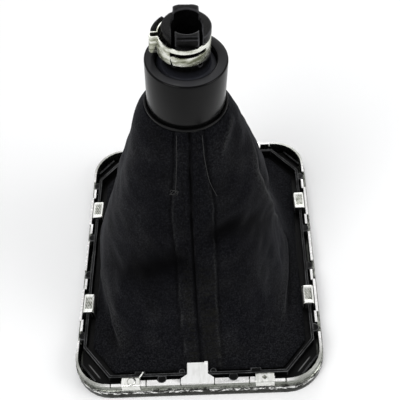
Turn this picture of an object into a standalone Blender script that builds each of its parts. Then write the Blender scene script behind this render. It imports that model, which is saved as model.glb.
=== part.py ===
"""Gear lever knob with its gaiter and console frame, as the two come out of a car.

The gaiter is turned inside out. The frame lies on its decorative face, the underside of the
knob points up with its split lever socket and ear clamp, and the knob's head hangs inside.
Metres, +Z up, the origin on the table under the middle of the frame.
"""
import math

import bmesh
import bpy
from mathutils import Euler, Matrix, Vector

# The running gap between pieces that touch
CLEARANCE = 0.0003

# Bezel: the bright surround, a flat face ring with a raised rim
FRAME_WIDTH = 0.130
FRAME_LENGTH = 0.162
FRAME_CORNER_RADIUS = 0.0195
BEZEL_FACE_WIDTH = 0.012
BEZEL_FACE_THICKNESS = 0.0020
BEZEL_EDGE_ROUND = 0.0012
BEZEL_BEAD_HEIGHT = 0.0045
BEZEL_BEAD_STEP = 0.0009
RIM_THICKNESS = 0.0013
RIM_HEIGHT = 0.0100
RIM_SHELF_WIDTH = 0.0015
RIM_SHELF_CORNER_MARGIN = 0.026
RIM_NICK_WIDTH = 0.0006
RIM_NICK_DEPTH = 0.0024
RIM_NICKS = (0.0085, 0.0262, 0.0445)

# The bays of the rim, each measured from the middle of a side clip
STUD_BAY_DISTANCE = 0.0193
STUD_BAY_WIDTH = 0.0058
RIM_TAB_DISTANCE = 0.0130
RIM_TAB_LENGTH = 0.0068
RIM_TAB_STEP = 0.0010
RIM_TAB_DROP = 0.0002
RIM_TAB_LAP = 0.0004
RIM_NOTCH_FLOOR = 0.0052

# Carrier: the black plastic frame that the gaiter's hem stands in
CARRIER_FLOOR_THICKNESS = 0.0020
CARRIER_LEDGE_WIDTH = 0.0050
RIB_SIDE_INSET = 0.0046
RIB_END_INSET = 0.0060
RIB_CORNER_WIDTH = 0.0148
RIB_CORNER_LENGTH = 0.0178
RIB_THICKNESS = 0.0014
RIB_HEIGHT = 0.0095
CORNER_RIB_SPACING = 0.0058
CORNER_RIB_THICKNESS = 0.0008
CORNER_RIB_LENGTH = 0.0130
CORNER_RIB_HEIGHT = 0.0064
STUD_DIAMETER = 0.0046
STUD_HEIGHT = 0.0093
STUD_SIDE_INSET = 0.0038
STUD_END_INSET = 0.0045
STUD_END_SHARE = 0.280
LATCH_BOSS_DIAMETER = 0.0032
LATCH_BOSS_SPACING = 0.0160
LATCH_BOSS_INSET = 0.0080
RIB_BLOCK_SHARE = 0.457
RIB_BLOCK_LENGTH = 0.0052
RIB_BLOCK_WIDTH = 0.0014

# Spring clips and latch: bright steel sheet
SHEET_THICKNESS = 0.0005
SHEET_BEND_RADIUS = 0.0006
SIDE_CLIP_WIDTH = 0.0110
SIDE_CLIP_REACH = 0.0061
SIDE_CLIP_REAR_SHARE = 0.4074
SIDE_CLIP_FRONT_SHARE = -0.3827
CLIP_TAB_THICKNESS = 0.0030
CLIP_LEG_LENGTH = 0.0050
END_CLIP_WIDTH = 0.0094
END_CLIP_SHARE = 0.523
END_CLIP_REACH = 0.0054
CLIP_DIMPLE_RADIUS = 0.0075
CLIP_DIMPLE_DEPTH = 0.00028
LATCH_TONGUE_WIDTH = 0.0106
LATCH_BASE_WIDTH = 0.0168
LATCH_FLARE = 0.0022
LATCH_REACH = 0.0122
LATCH_HOOK_WIDTH = 0.0017
LATCH_HOOK_HEIGHT = 0.0016

# Knob axis: where the collar's lower end stands and how it leans
KNOB_X = 0.0044
KNOB_Y = 0.0011
KNOB_HEIGHT = 0.1287
LEAN_TO_RIGHT = 5.6
LEAN_TO_FRONT = 1.1

# Collar: the satin sleeve that shows under the knob when it is fitted
COLLAR_HEIGHT = 0.0264
COLLAR_TOP_RADIUS = 0.0180
COLLAR_BASE_RADIUS = 0.0177
COLLAR_EDGE = 0.0006
COLLAR_RECESS_RADIUS = 0.0133
COLLAR_RECESS_DEPTH = 0.0060

# Neck ring: holds the gaiter's neck against the collar
NECK_RING_HEIGHT = 0.0015
NECK_RING_WIDTH = 0.0010

# Core: the lever socket, a tube that ends in four split fingers
LEVER_BORE_RADIUS = 0.0063
CORE_RADIUS = 0.0104
CORE_HEIGHT = 0.0474
CORE_DEPTH_IN_HEAD = 0.0250
CORE_FLOOR_THICKNESS = 0.0030
CORE_FLANGE_HEIGHT = 0.0030
CORE_TIP_BEVEL = 0.0010
CORE_GROOVE_RADIUS = 0.0094
FINGER_TURN = 3.0
FRONT_SLOT_WIDTH = 0.0013
REAR_SLOT_WIDTH = 0.0005
FINGER_SLOT_X = 0.0056
FINGER_SLOT_DEPTH = 0.0180
FINGER_FLAT_Y = 0.0091
FINGER_FLAT_DEPTH = 0.0090
FRONT_FINGER_BEVEL = 0.0011
FRONT_FINGER_DROP = 0.0024
SIDE_FINGER_DROP = 0.0034

# Wing: a curved wall beside the clamp's ear, which stands on a foot under the clamp
WING_START = 130.5
WING_END = 170.0
WING_RADIUS = 0.0151
WING_THICKNESS = 0.0015
WING_FOOT_HEIGHT = 0.0026
WING_HEIGHT = 0.0130

# Ear clamp: the sprung steel band round the fingers, which seats on the right one
CLAMP_THICKNESS = 0.0006
CLAMP_INNER_RADIUS = 0.01075
CLAMP_SEAT_SHARE = 0.24
CLAMP_BAND_WIDTH = 0.0085
CLAMP_EAR_AZIMUTH = 186.0
CLAMP_EAR_REACH = 0.0038
CLAMP_EAR_WIDTH = 0.0024
CLAMP_SLOT_START = 240.0
CLAMP_SLOT_END = 324.0
CLAMP_SLOT_WIDTH = 0.0020
CLAMP_SLIT_ANGLE = 2.5
CLAMP_UPPER_STRIP = 0.0020

# Gaiter: one thin shell from the octagonal hem to the round neck
GAITER_THICKNESS = 0.0010
HEM_INSET = 0.0033
GAITER_STEPS_AROUND = 56
# Share of the way up, then how far the left, right, front and back stand out of the neck
# towards the hem there, and how round the section is
HEM_LEVELS = (
    (0.000, 1.000, 1.000, 1.000, 1.000, 0.00),
    (0.012, 1.000, 1.000, 1.000, 1.000, 0.00),
    (0.035, 0.975, 0.910, 0.940, 0.870, 0.45),
)
BODY_LEVELS = (
    (0.080, 0.965, 0.830, 0.890, 0.825, 0.68),
    (0.165, 0.955, 0.720, 0.800, 0.780, 0.76),
    (0.325, 0.800, 0.600, 0.615, 0.690, 0.86),
    (0.486, 0.600, 0.550, 0.450, 0.530, 0.95),
    (0.647, 0.450, 0.440, 0.300, 0.370, 1.00),
    (0.808, 0.275, 0.270, 0.160, 0.210, 1.00),
)
NECK_LEVELS = (
    (0.912, 0.175, 0.155, 0.085, 0.110, 1.00),
    (0.965, 0.090, 0.080, 0.045, 0.055, 1.00),
    (1.000, 0.000, 0.000, 0.000, 0.000, 1.00),
)
BODY_RINGS_PER_LEVEL = 2

# Folds of the gaiter: the azimuth and share of the way up of each point on the fold, then
# its rise out of the cloth and its half width as shares of the two sizes
FOLD_RISE = 0.0020
FOLD_HALF_WIDTH = 0.0080
GAITER_FOLDS = (
    (((-21.0, 0.421), (-50.6, 0.555), (-70.8, 0.572)), -1.00, 0.95),
    (((213.0, 0.287), (241.0, 0.409), (258.6, 0.473)), -1.15, 1.06),
    (((-7.5, 0.753), (-18.1, 0.693), (-17.6, 0.627), (-17.0, 0.547), (-6.6, 0.394)), 0.80, 0.35),
    (((2.0, 0.753), (-9.0, 0.690), (-9.3, 0.547), (0.5, 0.394)), -0.95, 0.45),
    (((207.1, 0.116), (214.6, 0.096), (220.8, 0.072), (226.0, 0.052)), -1.00, 0.45),
)

# Head: the grip that the hand holds, here hidden inside the gaiter
HEAD_SHOULDER_RADIUS = 0.0172
HEAD_GRIP_RADIUS = 0.0235
HEAD_GRIP_DEPTH = 0.0460
HEAD_LENGTH = 0.0720
HEAD_FACE_RADIUS = 0.0185
TRIM_RING_WIDTH = 0.0022
TRIM_RING_HEIGHT = 0.0030
CAP_THICKNESS = 0.0026
CAP_CROWN = 0.0014

# How finely round shapes are divided
ROUND_STEPS = 48
HEAD_STEPS = 32
SMALL_ROUND_STEPS = 16
CORNER_STEPS = 8

# Places that follow from the sizes above
HALF_WIDTH = FRAME_WIDTH / 2
HALF_LENGTH = FRAME_LENGTH / 2
RIM_INNER_INSET = BEZEL_BEAD_STEP + RIM_THICKNESS
RIM_TAB_INSET = BEZEL_BEAD_STEP + RIM_TAB_STEP
SHELF_INNER_INSET = RIM_INNER_INSET + RIM_SHELF_WIDTH
CARRIER_BASE = BEZEL_FACE_THICKNESS + CLEARANCE
CARRIER_FLOOR = CARRIER_BASE + CARRIER_FLOOR_THICKNESS
CLIP_TOP = RIM_HEIGHT + CLEARANCE + SHEET_THICKNESS
SIDE_CLIP_OUTER_X = HALF_WIDTH - RIM_INNER_INSET - CLEARANCE
SIDE_CLIP_PLACES = {
    "rear": HALF_LENGTH * SIDE_CLIP_REAR_SHARE,
    "front": HALF_LENGTH * SIDE_CLIP_FRONT_SHARE,
}
RIB_HALF_WIDTH = HALF_WIDTH - RIB_SIDE_INSET
RIB_HALF_LENGTH = HALF_LENGTH - RIB_END_INSET
HEM_HALF_WIDTH = RIB_HALF_WIDTH - RIB_THICKNESS - HEM_INSET
HEM_HALF_LENGTH = RIB_HALF_LENGTH - RIB_THICKNESS - HEM_INSET
HEM_HEIGHT = CARRIER_FLOOR + CLEARANCE
NECK_RADIUS = COLLAR_BASE_RADIUS + CLEARANCE + GAITER_THICKNESS
CLAMP_OFFSET = CLAMP_INNER_RADIUS - CORE_GROOVE_RADIUS - CLEARANCE
WING_FOOT_TOP = COLLAR_HEIGHT + CLEARANCE + WING_FOOT_HEIGHT
CLAMP_ROOM = CORE_HEIGHT - WING_FOOT_TOP - CLAMP_BAND_WIDTH
CLAMP_BASE = WING_FOOT_TOP + CLAMP_ROOM * CLAMP_SEAT_SHARE
CLAMP_TOP = CLAMP_BASE + CLAMP_BAND_WIDTH
COLLAR_FLOOR = COLLAR_HEIGHT - COLLAR_RECESS_DEPTH

PARTS = "gear_knob"
CUTTERS = "cutters"


def clear_scene():
    """Removes the objects and collections that a new file holds."""
    for item in list(bpy.data.objects):
        bpy.data.objects.remove(item)
    for item in list(bpy.data.collections):
        bpy.data.collections.remove(item)


def collection(name, parent=None):
    """A collection of that name, made when it is first asked for."""
    found = bpy.data.collections.get(name)
    if found is None:
        found = bpy.data.collections.new(name)
        (parent or bpy.context.scene.collection).children.link(found)
    return found


def helper_collection(name):
    """A collection of cutters or added shapes that one piece uses."""
    return collection(name, collection(CUTTERS))


def new_object(name, mesh, where):
    """An object of a mesh in a collection; helpers are kept out of renders."""
    made = bpy.data.objects.new(name, mesh)
    where.objects.link(made)
    if where.name != PARTS:
        made.hide_render = True
        made.display_type = "WIRE"
    return made


def mesh_from_bmesh(name, shape):
    """Turns a bmesh into a mesh and frees it."""
    mesh = bpy.data.meshes.new(name)
    shape.to_mesh(mesh)
    shape.free()
    return mesh


def box(name, size, centre, where, turn=0.0):
    """A box of that size, turned about Z by an angle in radians."""
    shape = bmesh.new()
    bmesh.ops.create_cube(shape, size=1.0)
    spread = Matrix.Diagonal((*size, 1.0))
    shape.transform(Matrix.Translation(centre) @ Matrix.Rotation(turn, 4, "Z") @ spread)
    return new_object(name, mesh_from_bmesh(name, shape), where)


def cylinder(name, radius, low, high, x, y, where):
    """An upright cylinder between two heights."""
    shape = bmesh.new()
    bmesh.ops.create_cone(shape, cap_ends=True, segments=SMALL_ROUND_STEPS, radius1=radius,
                          radius2=radius, depth=high - low)
    shape.transform(Matrix.Translation((x, y, (low + high) / 2)))
    return new_object(name, mesh_from_bmesh(name, shape), where)


def curve_loop(curve, points):
    """Adds one closed straight-sided loop to a flat curve."""
    spline = curve.splines.new("POLY")
    spline.points.add(len(points) - 1)
    for point, place in zip(spline.points, points):
        point.co = (place[0], place[1], 0.0, 1.0)
    spline.use_cyclic_u = True


def curve_to_mesh(name, curve, where, height=0.0):
    """Makes a curve a closed mesh with its caps welded on, lifted to a height."""
    source = bpy.data.objects.new(name + "_curve", curve)
    bpy.context.scene.collection.objects.link(source)
    source.location.z = height
    bpy.context.view_layer.update()
    graph = bpy.context.evaluated_depsgraph_get()
    mesh = bpy.data.meshes.new_from_object(source.evaluated_get(graph))
    shape = bmesh.new()
    shape.from_mesh(mesh)
    bmesh.ops.remove_doubles(shape, verts=shape.verts, dist=1e-6)
    bmesh.ops.recalc_face_normals(shape, faces=shape.faces)
    shape.to_mesh(mesh)
    shape.free()
    made = new_object(name, mesh, where)
    made.matrix_world = source.matrix_world
    bpy.data.objects.remove(source)
    return made


def plate(name, loops, low, high, where):
    """A flat outline, with any holes, between two heights."""
    curve = bpy.data.curves.new(name, "CURVE")
    curve.dimensions = "2D"
    curve.fill_mode = "BOTH"
    curve.extrude = (high - low) / 2
    for loop in loops:
        curve_loop(curve, loop)
    return curve_to_mesh(name, curve, where, (low + high) / 2)


def rounded_rectangle(half_x, half_y, radius):
    """The corner arcs of a rounded rectangle, anticlockwise."""
    points = []
    for quarter, (side_x, side_y) in enumerate(((1, 1), (-1, 1), (-1, -1), (1, -1))):
        for step in range(CORNER_STEPS + 1):
            angle = math.radians(90 * (quarter + step / CORNER_STEPS))
            points.append((side_x * (half_x - radius) + radius * math.cos(angle),
                           side_y * (half_y - radius) + radius * math.sin(angle)))
    return points


def octagon(half_x, half_y, corner_x, corner_y):
    """A rectangle with its corners cut off, anticlockwise."""
    corner = ((half_x, half_y - corner_y), (half_x - corner_x, half_y))
    points = []
    for side_x, side_y in ((1, 1), (-1, 1), (-1, -1), (1, -1)):
        pair = corner if side_x * side_y > 0 else corner[::-1]
        points += [(side_x * x, side_y * y) for x, y in pair]
    return points


def rib_octagon(inset):
    """The carrier's rib line, moved inwards by a distance on every side."""
    slant = math.atan2(RIB_CORNER_WIDTH, RIB_CORNER_LENGTH)
    shrink_x = inset * (1 - math.tan((math.pi / 2 - slant) / 2))
    shrink_y = inset * (1 - math.tan(slant / 2))
    return octagon(RIB_HALF_WIDTH - inset, RIB_HALF_LENGTH - inset,
                   RIB_CORNER_WIDTH - shrink_x, RIB_CORNER_LENGTH - shrink_y)


def turned(name, profile, where, steps=ROUND_STEPS):
    """A profile of radius and height turned about Z.

    A profile that starts and ends on the axis stays open, and any other is closed.
    """
    shape = bmesh.new()
    corners = [shape.verts.new((radius, 0.0, height)) for radius, height in profile]
    for first, second in zip(corners, corners[1:]):
        shape.edges.new((first, second))
    if profile[0][0] > 0.0:
        shape.edges.new((corners[-1], corners[0]))
    made = new_object(name, mesh_from_bmesh(name, shape), where)
    screw = made.modifiers.new("turn", "SCREW")
    screw.steps = steps
    screw.render_steps = steps
    screw.use_merge_vertices = True
    screw.merge_threshold = 0.00001
    screw.use_smooth_shade = True
    return made


def sheet(name, mesh, where, offset):
    """A surface given the sheet steel's thickness."""
    made = new_object(name, mesh, where)
    wall = made.modifiers.new("sheet", "SOLIDIFY")
    wall.thickness = SHEET_THICKNESS
    wall.offset = offset
    wall.use_even_offset = True
    return made


def boolean(target, helpers, operation):
    """Cuts a collection of helpers from a piece, or joins them to it."""
    joined = target.modifiers.new(helpers.name, "BOOLEAN")
    joined.operation = operation
    joined.operand_type = "COLLECTION"
    joined.collection = helpers
    joined.solver = "EXACT"
    return joined


def finish_piece(piece, material):
    """Gives a piece its material and smooth round faces."""
    piece.data.materials.clear()
    piece.data.materials.append(material)
    piece.data.shade_smooth()
    piece.data.set_sharp_from_angle(angle=math.radians(35))


def principled(name, colour, roughness, metallic=0.0):
    """A Principled material in one colour."""
    made = bpy.data.materials.new(name)
    made.use_nodes = True
    shader = made.node_tree.nodes["Principled BSDF"]
    shader.inputs["Base Color"].default_value = (*colour, 1.0)
    shader.inputs["Roughness"].default_value = roughness
    shader.inputs["Metallic"].default_value = metallic
    return made


def bright_plating():
    return principled("bright_plating", (0.80, 0.80, 0.78), 0.12, 1.0)


def spring_steel():
    return principled("spring_steel", (0.74, 0.74, 0.70), 0.32, 1.0)


def carrier_plastic():
    return principled("carrier_plastic", (0.018, 0.018, 0.020), 0.50)


def satin_plastic():
    return principled("satin_plastic", (0.026, 0.027, 0.026), 0.38)


def gaiter_lining():
    return principled("gaiter_lining", (0.022, 0.022, 0.025), 0.92)


def head_leather():
    return principled("head_leather", (0.020, 0.020, 0.020), 0.45)


def gloss_cap():
    return principled("gloss_cap", (0.010, 0.010, 0.011), 0.10)


def bezel_profile():
    """The bezel's section, as distance in from its outer edge and height."""
    edge = BEZEL_EDGE_ROUND
    return (
        (edge, 0.0),
        (BEZEL_FACE_WIDTH, 0.0),
        (BEZEL_FACE_WIDTH, BEZEL_FACE_THICKNESS),
        (RIM_INNER_INSET, BEZEL_FACE_THICKNESS),
        (RIM_INNER_INSET, RIM_HEIGHT),
        (BEZEL_BEAD_STEP, RIM_HEIGHT),
        (BEZEL_BEAD_STEP, BEZEL_BEAD_HEIGHT + BEZEL_BEAD_STEP),
        (BEZEL_BEAD_STEP / 3, BEZEL_BEAD_HEIGHT + BEZEL_BEAD_STEP * 2 / 3),
        (0.0, BEZEL_BEAD_HEIGHT),
        (0.0, edge),
        (edge * 0.3, edge * 0.3),
    )


def swept_bezel(where):
    """The bezel's section swept round its outer edge."""
    profile = bpy.data.curves.new("bezel_profile", "CURVE")
    profile.dimensions = "2D"
    curve_loop(profile, bezel_profile())
    section = bpy.data.objects.new("bezel_profile", profile)
    bpy.context.scene.collection.objects.link(section)
    path = bpy.data.curves.new("bezel_path", "CURVE")
    path.dimensions = "2D"
    path.bevel_mode = "OBJECT"
    path.bevel_object = section
    curve_loop(path, rounded_rectangle(HALF_WIDTH, HALF_LENGTH, FRAME_CORNER_RADIUS))
    swept = curve_to_mesh("bezel", path, where)
    bpy.data.objects.remove(section)
    return swept


def rim_tabs(joined, notches):
    """Cuts the side rims beside each clip and sets short tabs a step further in."""
    floor = BEZEL_FACE_THICKNESS / 2
    top = RIM_HEIGHT - RIM_TAB_DROP
    bay_start = RIM_TAB_DISTANCE - RIM_TAB_LENGTH / 2 + RIM_TAB_LAP
    bay_end = STUD_BAY_DISTANCE + STUD_BAY_WIDTH / 2
    for side in (-1, 1):
        for place, clip_y in SIDE_CLIP_PLACES.items():
            for way in (-1, 1):
                name = f"rim_tab_{side}_{place}_{way}"
                x = side * (HALF_WIDTH - RIM_TAB_INSET - RIM_THICKNESS / 2)
                box(name, (RIM_THICKNESS, RIM_TAB_LENGTH, top - floor),
                    (x, clip_y + way * RIM_TAB_DISTANCE, (top + floor) / 2), joined)
                box("notch_" + name, (RIM_INNER_INSET * 3, bay_end - bay_start, RIM_HEIGHT),
                    (side * HALF_WIDTH, clip_y + way * (bay_start + bay_end) / 2,
                     RIM_NOTCH_FLOOR + RIM_HEIGHT / 2), notches)


def end_shelves(joined, nicks):
    """The wider flat rims at the front and rear, with nicks and room for the studs."""
    length = FRAME_WIDTH - 2 * RIM_SHELF_CORNER_MARGIN
    floor = BEZEL_FACE_THICKNESS / 2
    overlap = RIM_THICKNESS / 2
    width = RIM_SHELF_WIDTH + overlap
    for end in (-1, 1):
        y = end * (HALF_LENGTH - SHELF_INNER_INSET + width / 2)
        box(f"shelf_{end}", (length, width, RIM_HEIGHT - floor),
            (0.0, y, (RIM_HEIGHT + floor) / 2), joined)
        for side in (-1, 1):
            for number, x in enumerate(RIM_NICKS):
                box(f"nick_{end}_{side}_{number}",
                    (RIM_NICK_WIDTH, SHELF_INNER_INSET * 2, RIM_NICK_DEPTH * 2),
                    (side * x, end * HALF_LENGTH, RIM_HEIGHT), nicks)


def make_bezel(parts, material):
    """The bright surround: face ring, rim, tabs between the clips and end shelves."""
    bezel = swept_bezel(parts)
    notches = helper_collection("rim_notches")
    joined = helper_collection("rim_shapes")
    nicks = helper_collection("rim_nicks")
    rim_tabs(joined, notches)
    end_shelves(joined, nicks)
    for number, (x, y) in enumerate(stud_places()):
        cylinder(f"stud_room_{number}", STUD_DIAMETER / 2 + CLEARANCE, CARRIER_BASE,
                 RIM_HEIGHT + RIM_THICKNESS, x, y, nicks)
    boolean(bezel, notches, "DIFFERENCE")
    boolean(bezel, joined, "UNION")
    boolean(bezel, nicks, "DIFFERENCE")
    finish_piece(bezel, material)
    return bezel


def carrier_outline():
    """The carrier's outer edge, a clearance inside the rim, its tabs and its shelves."""
    inset_x = RIM_TAB_INSET + RIM_THICKNESS + CLEARANCE
    inset_y = SHELF_INNER_INSET + CLEARANCE
    return rounded_rectangle(HALF_WIDTH - inset_x, HALF_LENGTH - inset_y,
                             FRAME_CORNER_RADIUS - RIM_INNER_INSET)


def carrier_ribs(joined):
    """The octagonal rib and, outside each of its corners, one thin rib."""
    plate("rib", (rib_octagon(0.0), rib_octagon(RIB_THICKNESS)),
          CARRIER_BASE + CARRIER_FLOOR_THICKNESS / 2, RIB_HEIGHT, joined)
    slope = Vector((RIB_CORNER_LENGTH, RIB_CORNER_WIDTH)).normalized()
    low = CARRIER_BASE + CARRIER_FLOOR_THICKNESS / 2
    for side in (-1, 1):
        for end in (-1, 1):
            middle_x = RIB_HALF_WIDTH - RIB_CORNER_WIDTH / 2 + slope.x * CORNER_RIB_SPACING
            middle_y = RIB_HALF_LENGTH - RIB_CORNER_LENGTH / 2 + slope.y * CORNER_RIB_SPACING
            turn = math.atan2(end * slope.y, side * slope.x)
            box(f"corner_rib_{side}_{end}",
                (CORNER_RIB_THICKNESS, CORNER_RIB_LENGTH, CORNER_RIB_HEIGHT - low),
                (side * middle_x, end * middle_y, (CORNER_RIB_HEIGHT + low) / 2), joined, turn)


def stud_places():
    """Where the carrier's studs stand: by each side clip and at both ends."""
    places = []
    for side in (-1, 1):
        for clip_y in SIDE_CLIP_PLACES.values():
            for way in (-1, 1):
                places.append((side * (HALF_WIDTH - STUD_SIDE_INSET),
                               clip_y + way * STUD_BAY_DISTANCE))
        for end in (-1, 1):
            places.append((side * FRAME_WIDTH * STUD_END_SHARE / 2,
                           end * (HALF_LENGTH - STUD_END_INSET)))
    return places


def carrier_studs(joined):
    """The studs, the two bosses beside the latch and the blocks behind the rib."""
    low = CARRIER_BASE + CARRIER_FLOOR_THICKNESS / 2
    for number, (x, y) in enumerate(stud_places()):
        cylinder(f"stud_{number}", STUD_DIAMETER / 2, low, STUD_HEIGHT, x, y, joined)
    for side in (-1, 1):
        cylinder(f"latch_boss_{side}", LATCH_BOSS_DIAMETER / 2, low, STUD_HEIGHT,
                 side * LATCH_BOSS_SPACING / 2, LATCH_BOSS_INSET - HALF_LENGTH, joined)
        for end in (-1, 1):
            y = end * (RIB_HALF_LENGTH - RIB_THICKNESS)
            box(f"rib_block_{side}_{end}",
                (RIB_BLOCK_LENGTH, RIB_BLOCK_WIDTH * 2, RIB_HEIGHT - low),
                (side * FRAME_WIDTH * RIB_BLOCK_SHARE / 2, y, (RIB_HEIGHT + low) / 2), joined)


def side_clip_section():
    """Where a side clip's two legs stand, as distances from the middle of the frame."""
    outer = SIDE_CLIP_OUTER_X
    return outer, outer - SIDE_CLIP_REACH


def carrier_clip_tabs(joined, cuts):
    """Opens the rib at each side clip and leaves the block that the clip grips."""
    low = CARRIER_BASE + CARRIER_FLOOR_THICKNESS / 2
    outer, inner = side_clip_section()
    middle = (outer + inner) / 2
    top = RIM_HEIGHT
    for side in (-1, 1):
        for place, clip_y in SIDE_CLIP_PLACES.items():
            box(f"rib_gap_{side}_{place}",
                (RIB_THICKNESS * 3, SIDE_CLIP_WIDTH + 2 * CLEARANCE, RIB_HEIGHT),
                (side * (RIB_HALF_WIDTH - RIB_THICKNESS / 2), clip_y,
                 CARRIER_FLOOR + CLEARANCE + RIB_HEIGHT / 2), cuts)
            box(f"clip_block_{side}_{place}",
                (CLIP_TAB_THICKNESS, SIDE_CLIP_WIDTH, top - low),
                (side * middle, clip_y, (top + low) / 2), joined)


def make_carrier(parts, material):
    """The black frame inside the bezel, with the rib that the gaiter's hem stands in."""
    ledge = rib_octagon(RIB_THICKNESS + CARRIER_LEDGE_WIDTH)
    carrier = plate("carrier_frame", (carrier_outline(), ledge), CARRIER_BASE, CARRIER_FLOOR,
                    parts)
    ribs = helper_collection("carrier_ribs")
    gaps = helper_collection("carrier_gaps")
    blocks = helper_collection("carrier_blocks")
    carrier_ribs(ribs)
    carrier_clip_tabs(blocks, gaps)
    carrier_studs(blocks)
    boolean(carrier, ribs, "UNION")
    boolean(carrier, gaps, "DIFFERENCE")
    boolean(carrier, blocks, "UNION")
    finish_piece(carrier, material)
    return carrier


def bent_strip(points, width):
    """A strip that follows a line in X and Z, with bends of the sheet's radius."""
    line = [Vector(points[0])]
    for before, corner, after in zip(points, points[1:], points[2:]):
        into = (Vector(before) - Vector(corner)).normalized()
        out = (Vector(after) - Vector(corner)).normalized()
        for share in (1.0, 0.35, 0.0, -0.35, -1.0):
            arm = into if share > 0 else out
            line.append(Vector(corner) + arm * SHEET_BEND_RADIUS * abs(share)
                        + (into + out) * SHEET_BEND_RADIUS * 0.3 * (1 - abs(share)) ** 2)
    line.append(Vector(points[-1]))
    shape = bmesh.new()
    rows = [[shape.verts.new((x, side * width / 2, z)) for x, z in line] for side in (-1, 1)]
    for first, second, third, fourth in zip(rows[0], rows[0][1:], rows[1][1:], rows[1]):
        shape.faces.new((first, second, third, fourth))
    return mesh_from_bmesh("strip", shape)


def spring_clip(name, width, reach, where, material, place, turn):
    """An upturned channel of sheet steel that grips what stands between its legs."""
    top = CLIP_TOP - SHEET_THICKNESS / 2
    half = SHEET_THICKNESS / 2
    foot = CLIP_TOP - CLIP_LEG_LENGTH
    inward = reach - half
    points = ((half, foot), (half, top), (inward, top), (inward, foot))
    clip = sheet(name, bent_strip(points, width), where, 0.0)
    clip.location = (place[0], place[1], 0.0)
    clip.rotation_euler.z = turn
    dimples = helper_collection("dimple_" + name)
    radius = CLIP_DIMPLE_RADIUS
    shape = bmesh.new()
    bmesh.ops.create_uvsphere(shape, u_segments=16, v_segments=16, radius=radius)
    ball = new_object("dimple_ball_" + name, mesh_from_bmesh("dimple", shape), dimples)
    ball.parent = clip
    ball.location = (reach / 2, 0.0, CLIP_TOP + radius - CLIP_DIMPLE_DEPTH)
    boolean(clip, dimples, "DIFFERENCE")
    finish_piece(clip, material)
    return clip


def make_side_clips(parts, material):
    """Two clips on each long side, which grip the carrier's blocks."""
    outer, inner = side_clip_section()
    for word, side in (("left", -1), ("right", 1)):
        for place, clip_y in SIDE_CLIP_PLACES.items():
            spring_clip(f"clip_{word}_{place}", SIDE_CLIP_WIDTH, outer - inner, parts,
                        material, (side * outer, clip_y), 0.0 if side < 0 else math.pi)


def make_end_clips(parts, material):
    """Two clips at each end, which grip the bezel's rim and its shelf."""
    outer = HALF_LENGTH - BEZEL_BEAD_STEP + CLEARANCE + SHEET_THICKNESS
    for word, end in (("front", -1), ("rear", 1)):
        for side_word, side in (("left", -1), ("right", 1)):
            spring_clip(f"clip_{word}_{side_word}", END_CLIP_WIDTH, END_CLIP_REACH, parts,
                        material, (side * FRAME_WIDTH * END_CLIP_SHARE / 2, end * outer),
                        -end * math.pi / 2)


def latch_outline():
    """The latch seen from above: a wide foot on the shelf and a tongue over the rib."""
    foot = LATCH_BASE_WIDTH / 2
    tongue = LATCH_TONGUE_WIDTH / 2
    start = BEZEL_BEAD_STEP - HALF_LENGTH
    shelf = SHELF_INNER_INSET - HALF_LENGTH
    end = LATCH_REACH - HALF_LENGTH
    return ((-foot, start), (foot, start), (foot, shelf), (tongue, shelf + LATCH_FLARE),
            (tongue, end), (-tongue, end), (-tongue, shelf + LATCH_FLARE), (-foot, shelf))


def make_latch(parts, material):
    """The front latch: a steel tongue with a leg behind the rib and a small hook."""
    base = RIM_HEIGHT + CLEARANCE
    top = base + SHEET_THICKNESS
    latch = plate("latch_front", (latch_outline(),), base, top, parts)
    added = helper_collection("latch_shapes")
    end = LATCH_REACH - HALF_LENGTH
    leg_y = RIB_THICKNESS + CLEARANCE + SHEET_THICKNESS / 2 - RIB_HALF_LENGTH
    leg_top = (base + top) / 2
    leg_foot = top - CLIP_LEG_LENGTH
    box("latch_leg", (LATCH_TONGUE_WIDTH, SHEET_THICKNESS, leg_top - leg_foot),
        (0.0, leg_y, (leg_top + leg_foot) / 2), added)
    hook_top = base + LATCH_HOOK_HEIGHT
    box("latch_hook", (LATCH_HOOK_WIDTH, SHEET_THICKNESS, hook_top - leg_top),
        (LATCH_TONGUE_WIDTH / 2 - LATCH_HOOK_WIDTH / 2, end - SHEET_THICKNESS / 2,
         (hook_top + leg_top) / 2), added)
    boolean(latch, added, "UNION")
    finish_piece(latch, material)
    return latch


def make_knob_axis(parts):
    """The leaning axis that the collar, core, clamp and head share."""
    axis = bpy.data.objects.new("knob_axis", None)
    parts.objects.link(axis)
    axis.location = (KNOB_X, KNOB_Y, KNOB_HEIGHT)
    axis.rotation_euler = (math.radians(LEAN_TO_FRONT), math.radians(LEAN_TO_RIGHT), 0.0)
    return axis


def make_collar(parts, material):
    """The sleeve round the core, with a recess at its end."""
    bore = CORE_RADIUS + CLEARANCE
    edge = COLLAR_EDGE
    profile = (
        (COLLAR_RECESS_RADIUS, COLLAR_HEIGHT),
        (COLLAR_TOP_RADIUS - edge, COLLAR_HEIGHT),
        (COLLAR_TOP_RADIUS - edge * 0.3, COLLAR_HEIGHT - edge * 0.3),
        (COLLAR_TOP_RADIUS, COLLAR_HEIGHT - edge),
        (COLLAR_BASE_RADIUS, edge),
        (COLLAR_BASE_RADIUS - edge, 0.0),
        (bore, 0.0),
        (bore, COLLAR_FLOOR),
        (COLLAR_RECESS_RADIUS - edge, COLLAR_FLOOR),
        (COLLAR_RECESS_RADIUS, COLLAR_FLOOR + edge),
    )
    collar = turned("collar", profile, parts)
    finish_piece(collar, material)
    return collar


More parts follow.
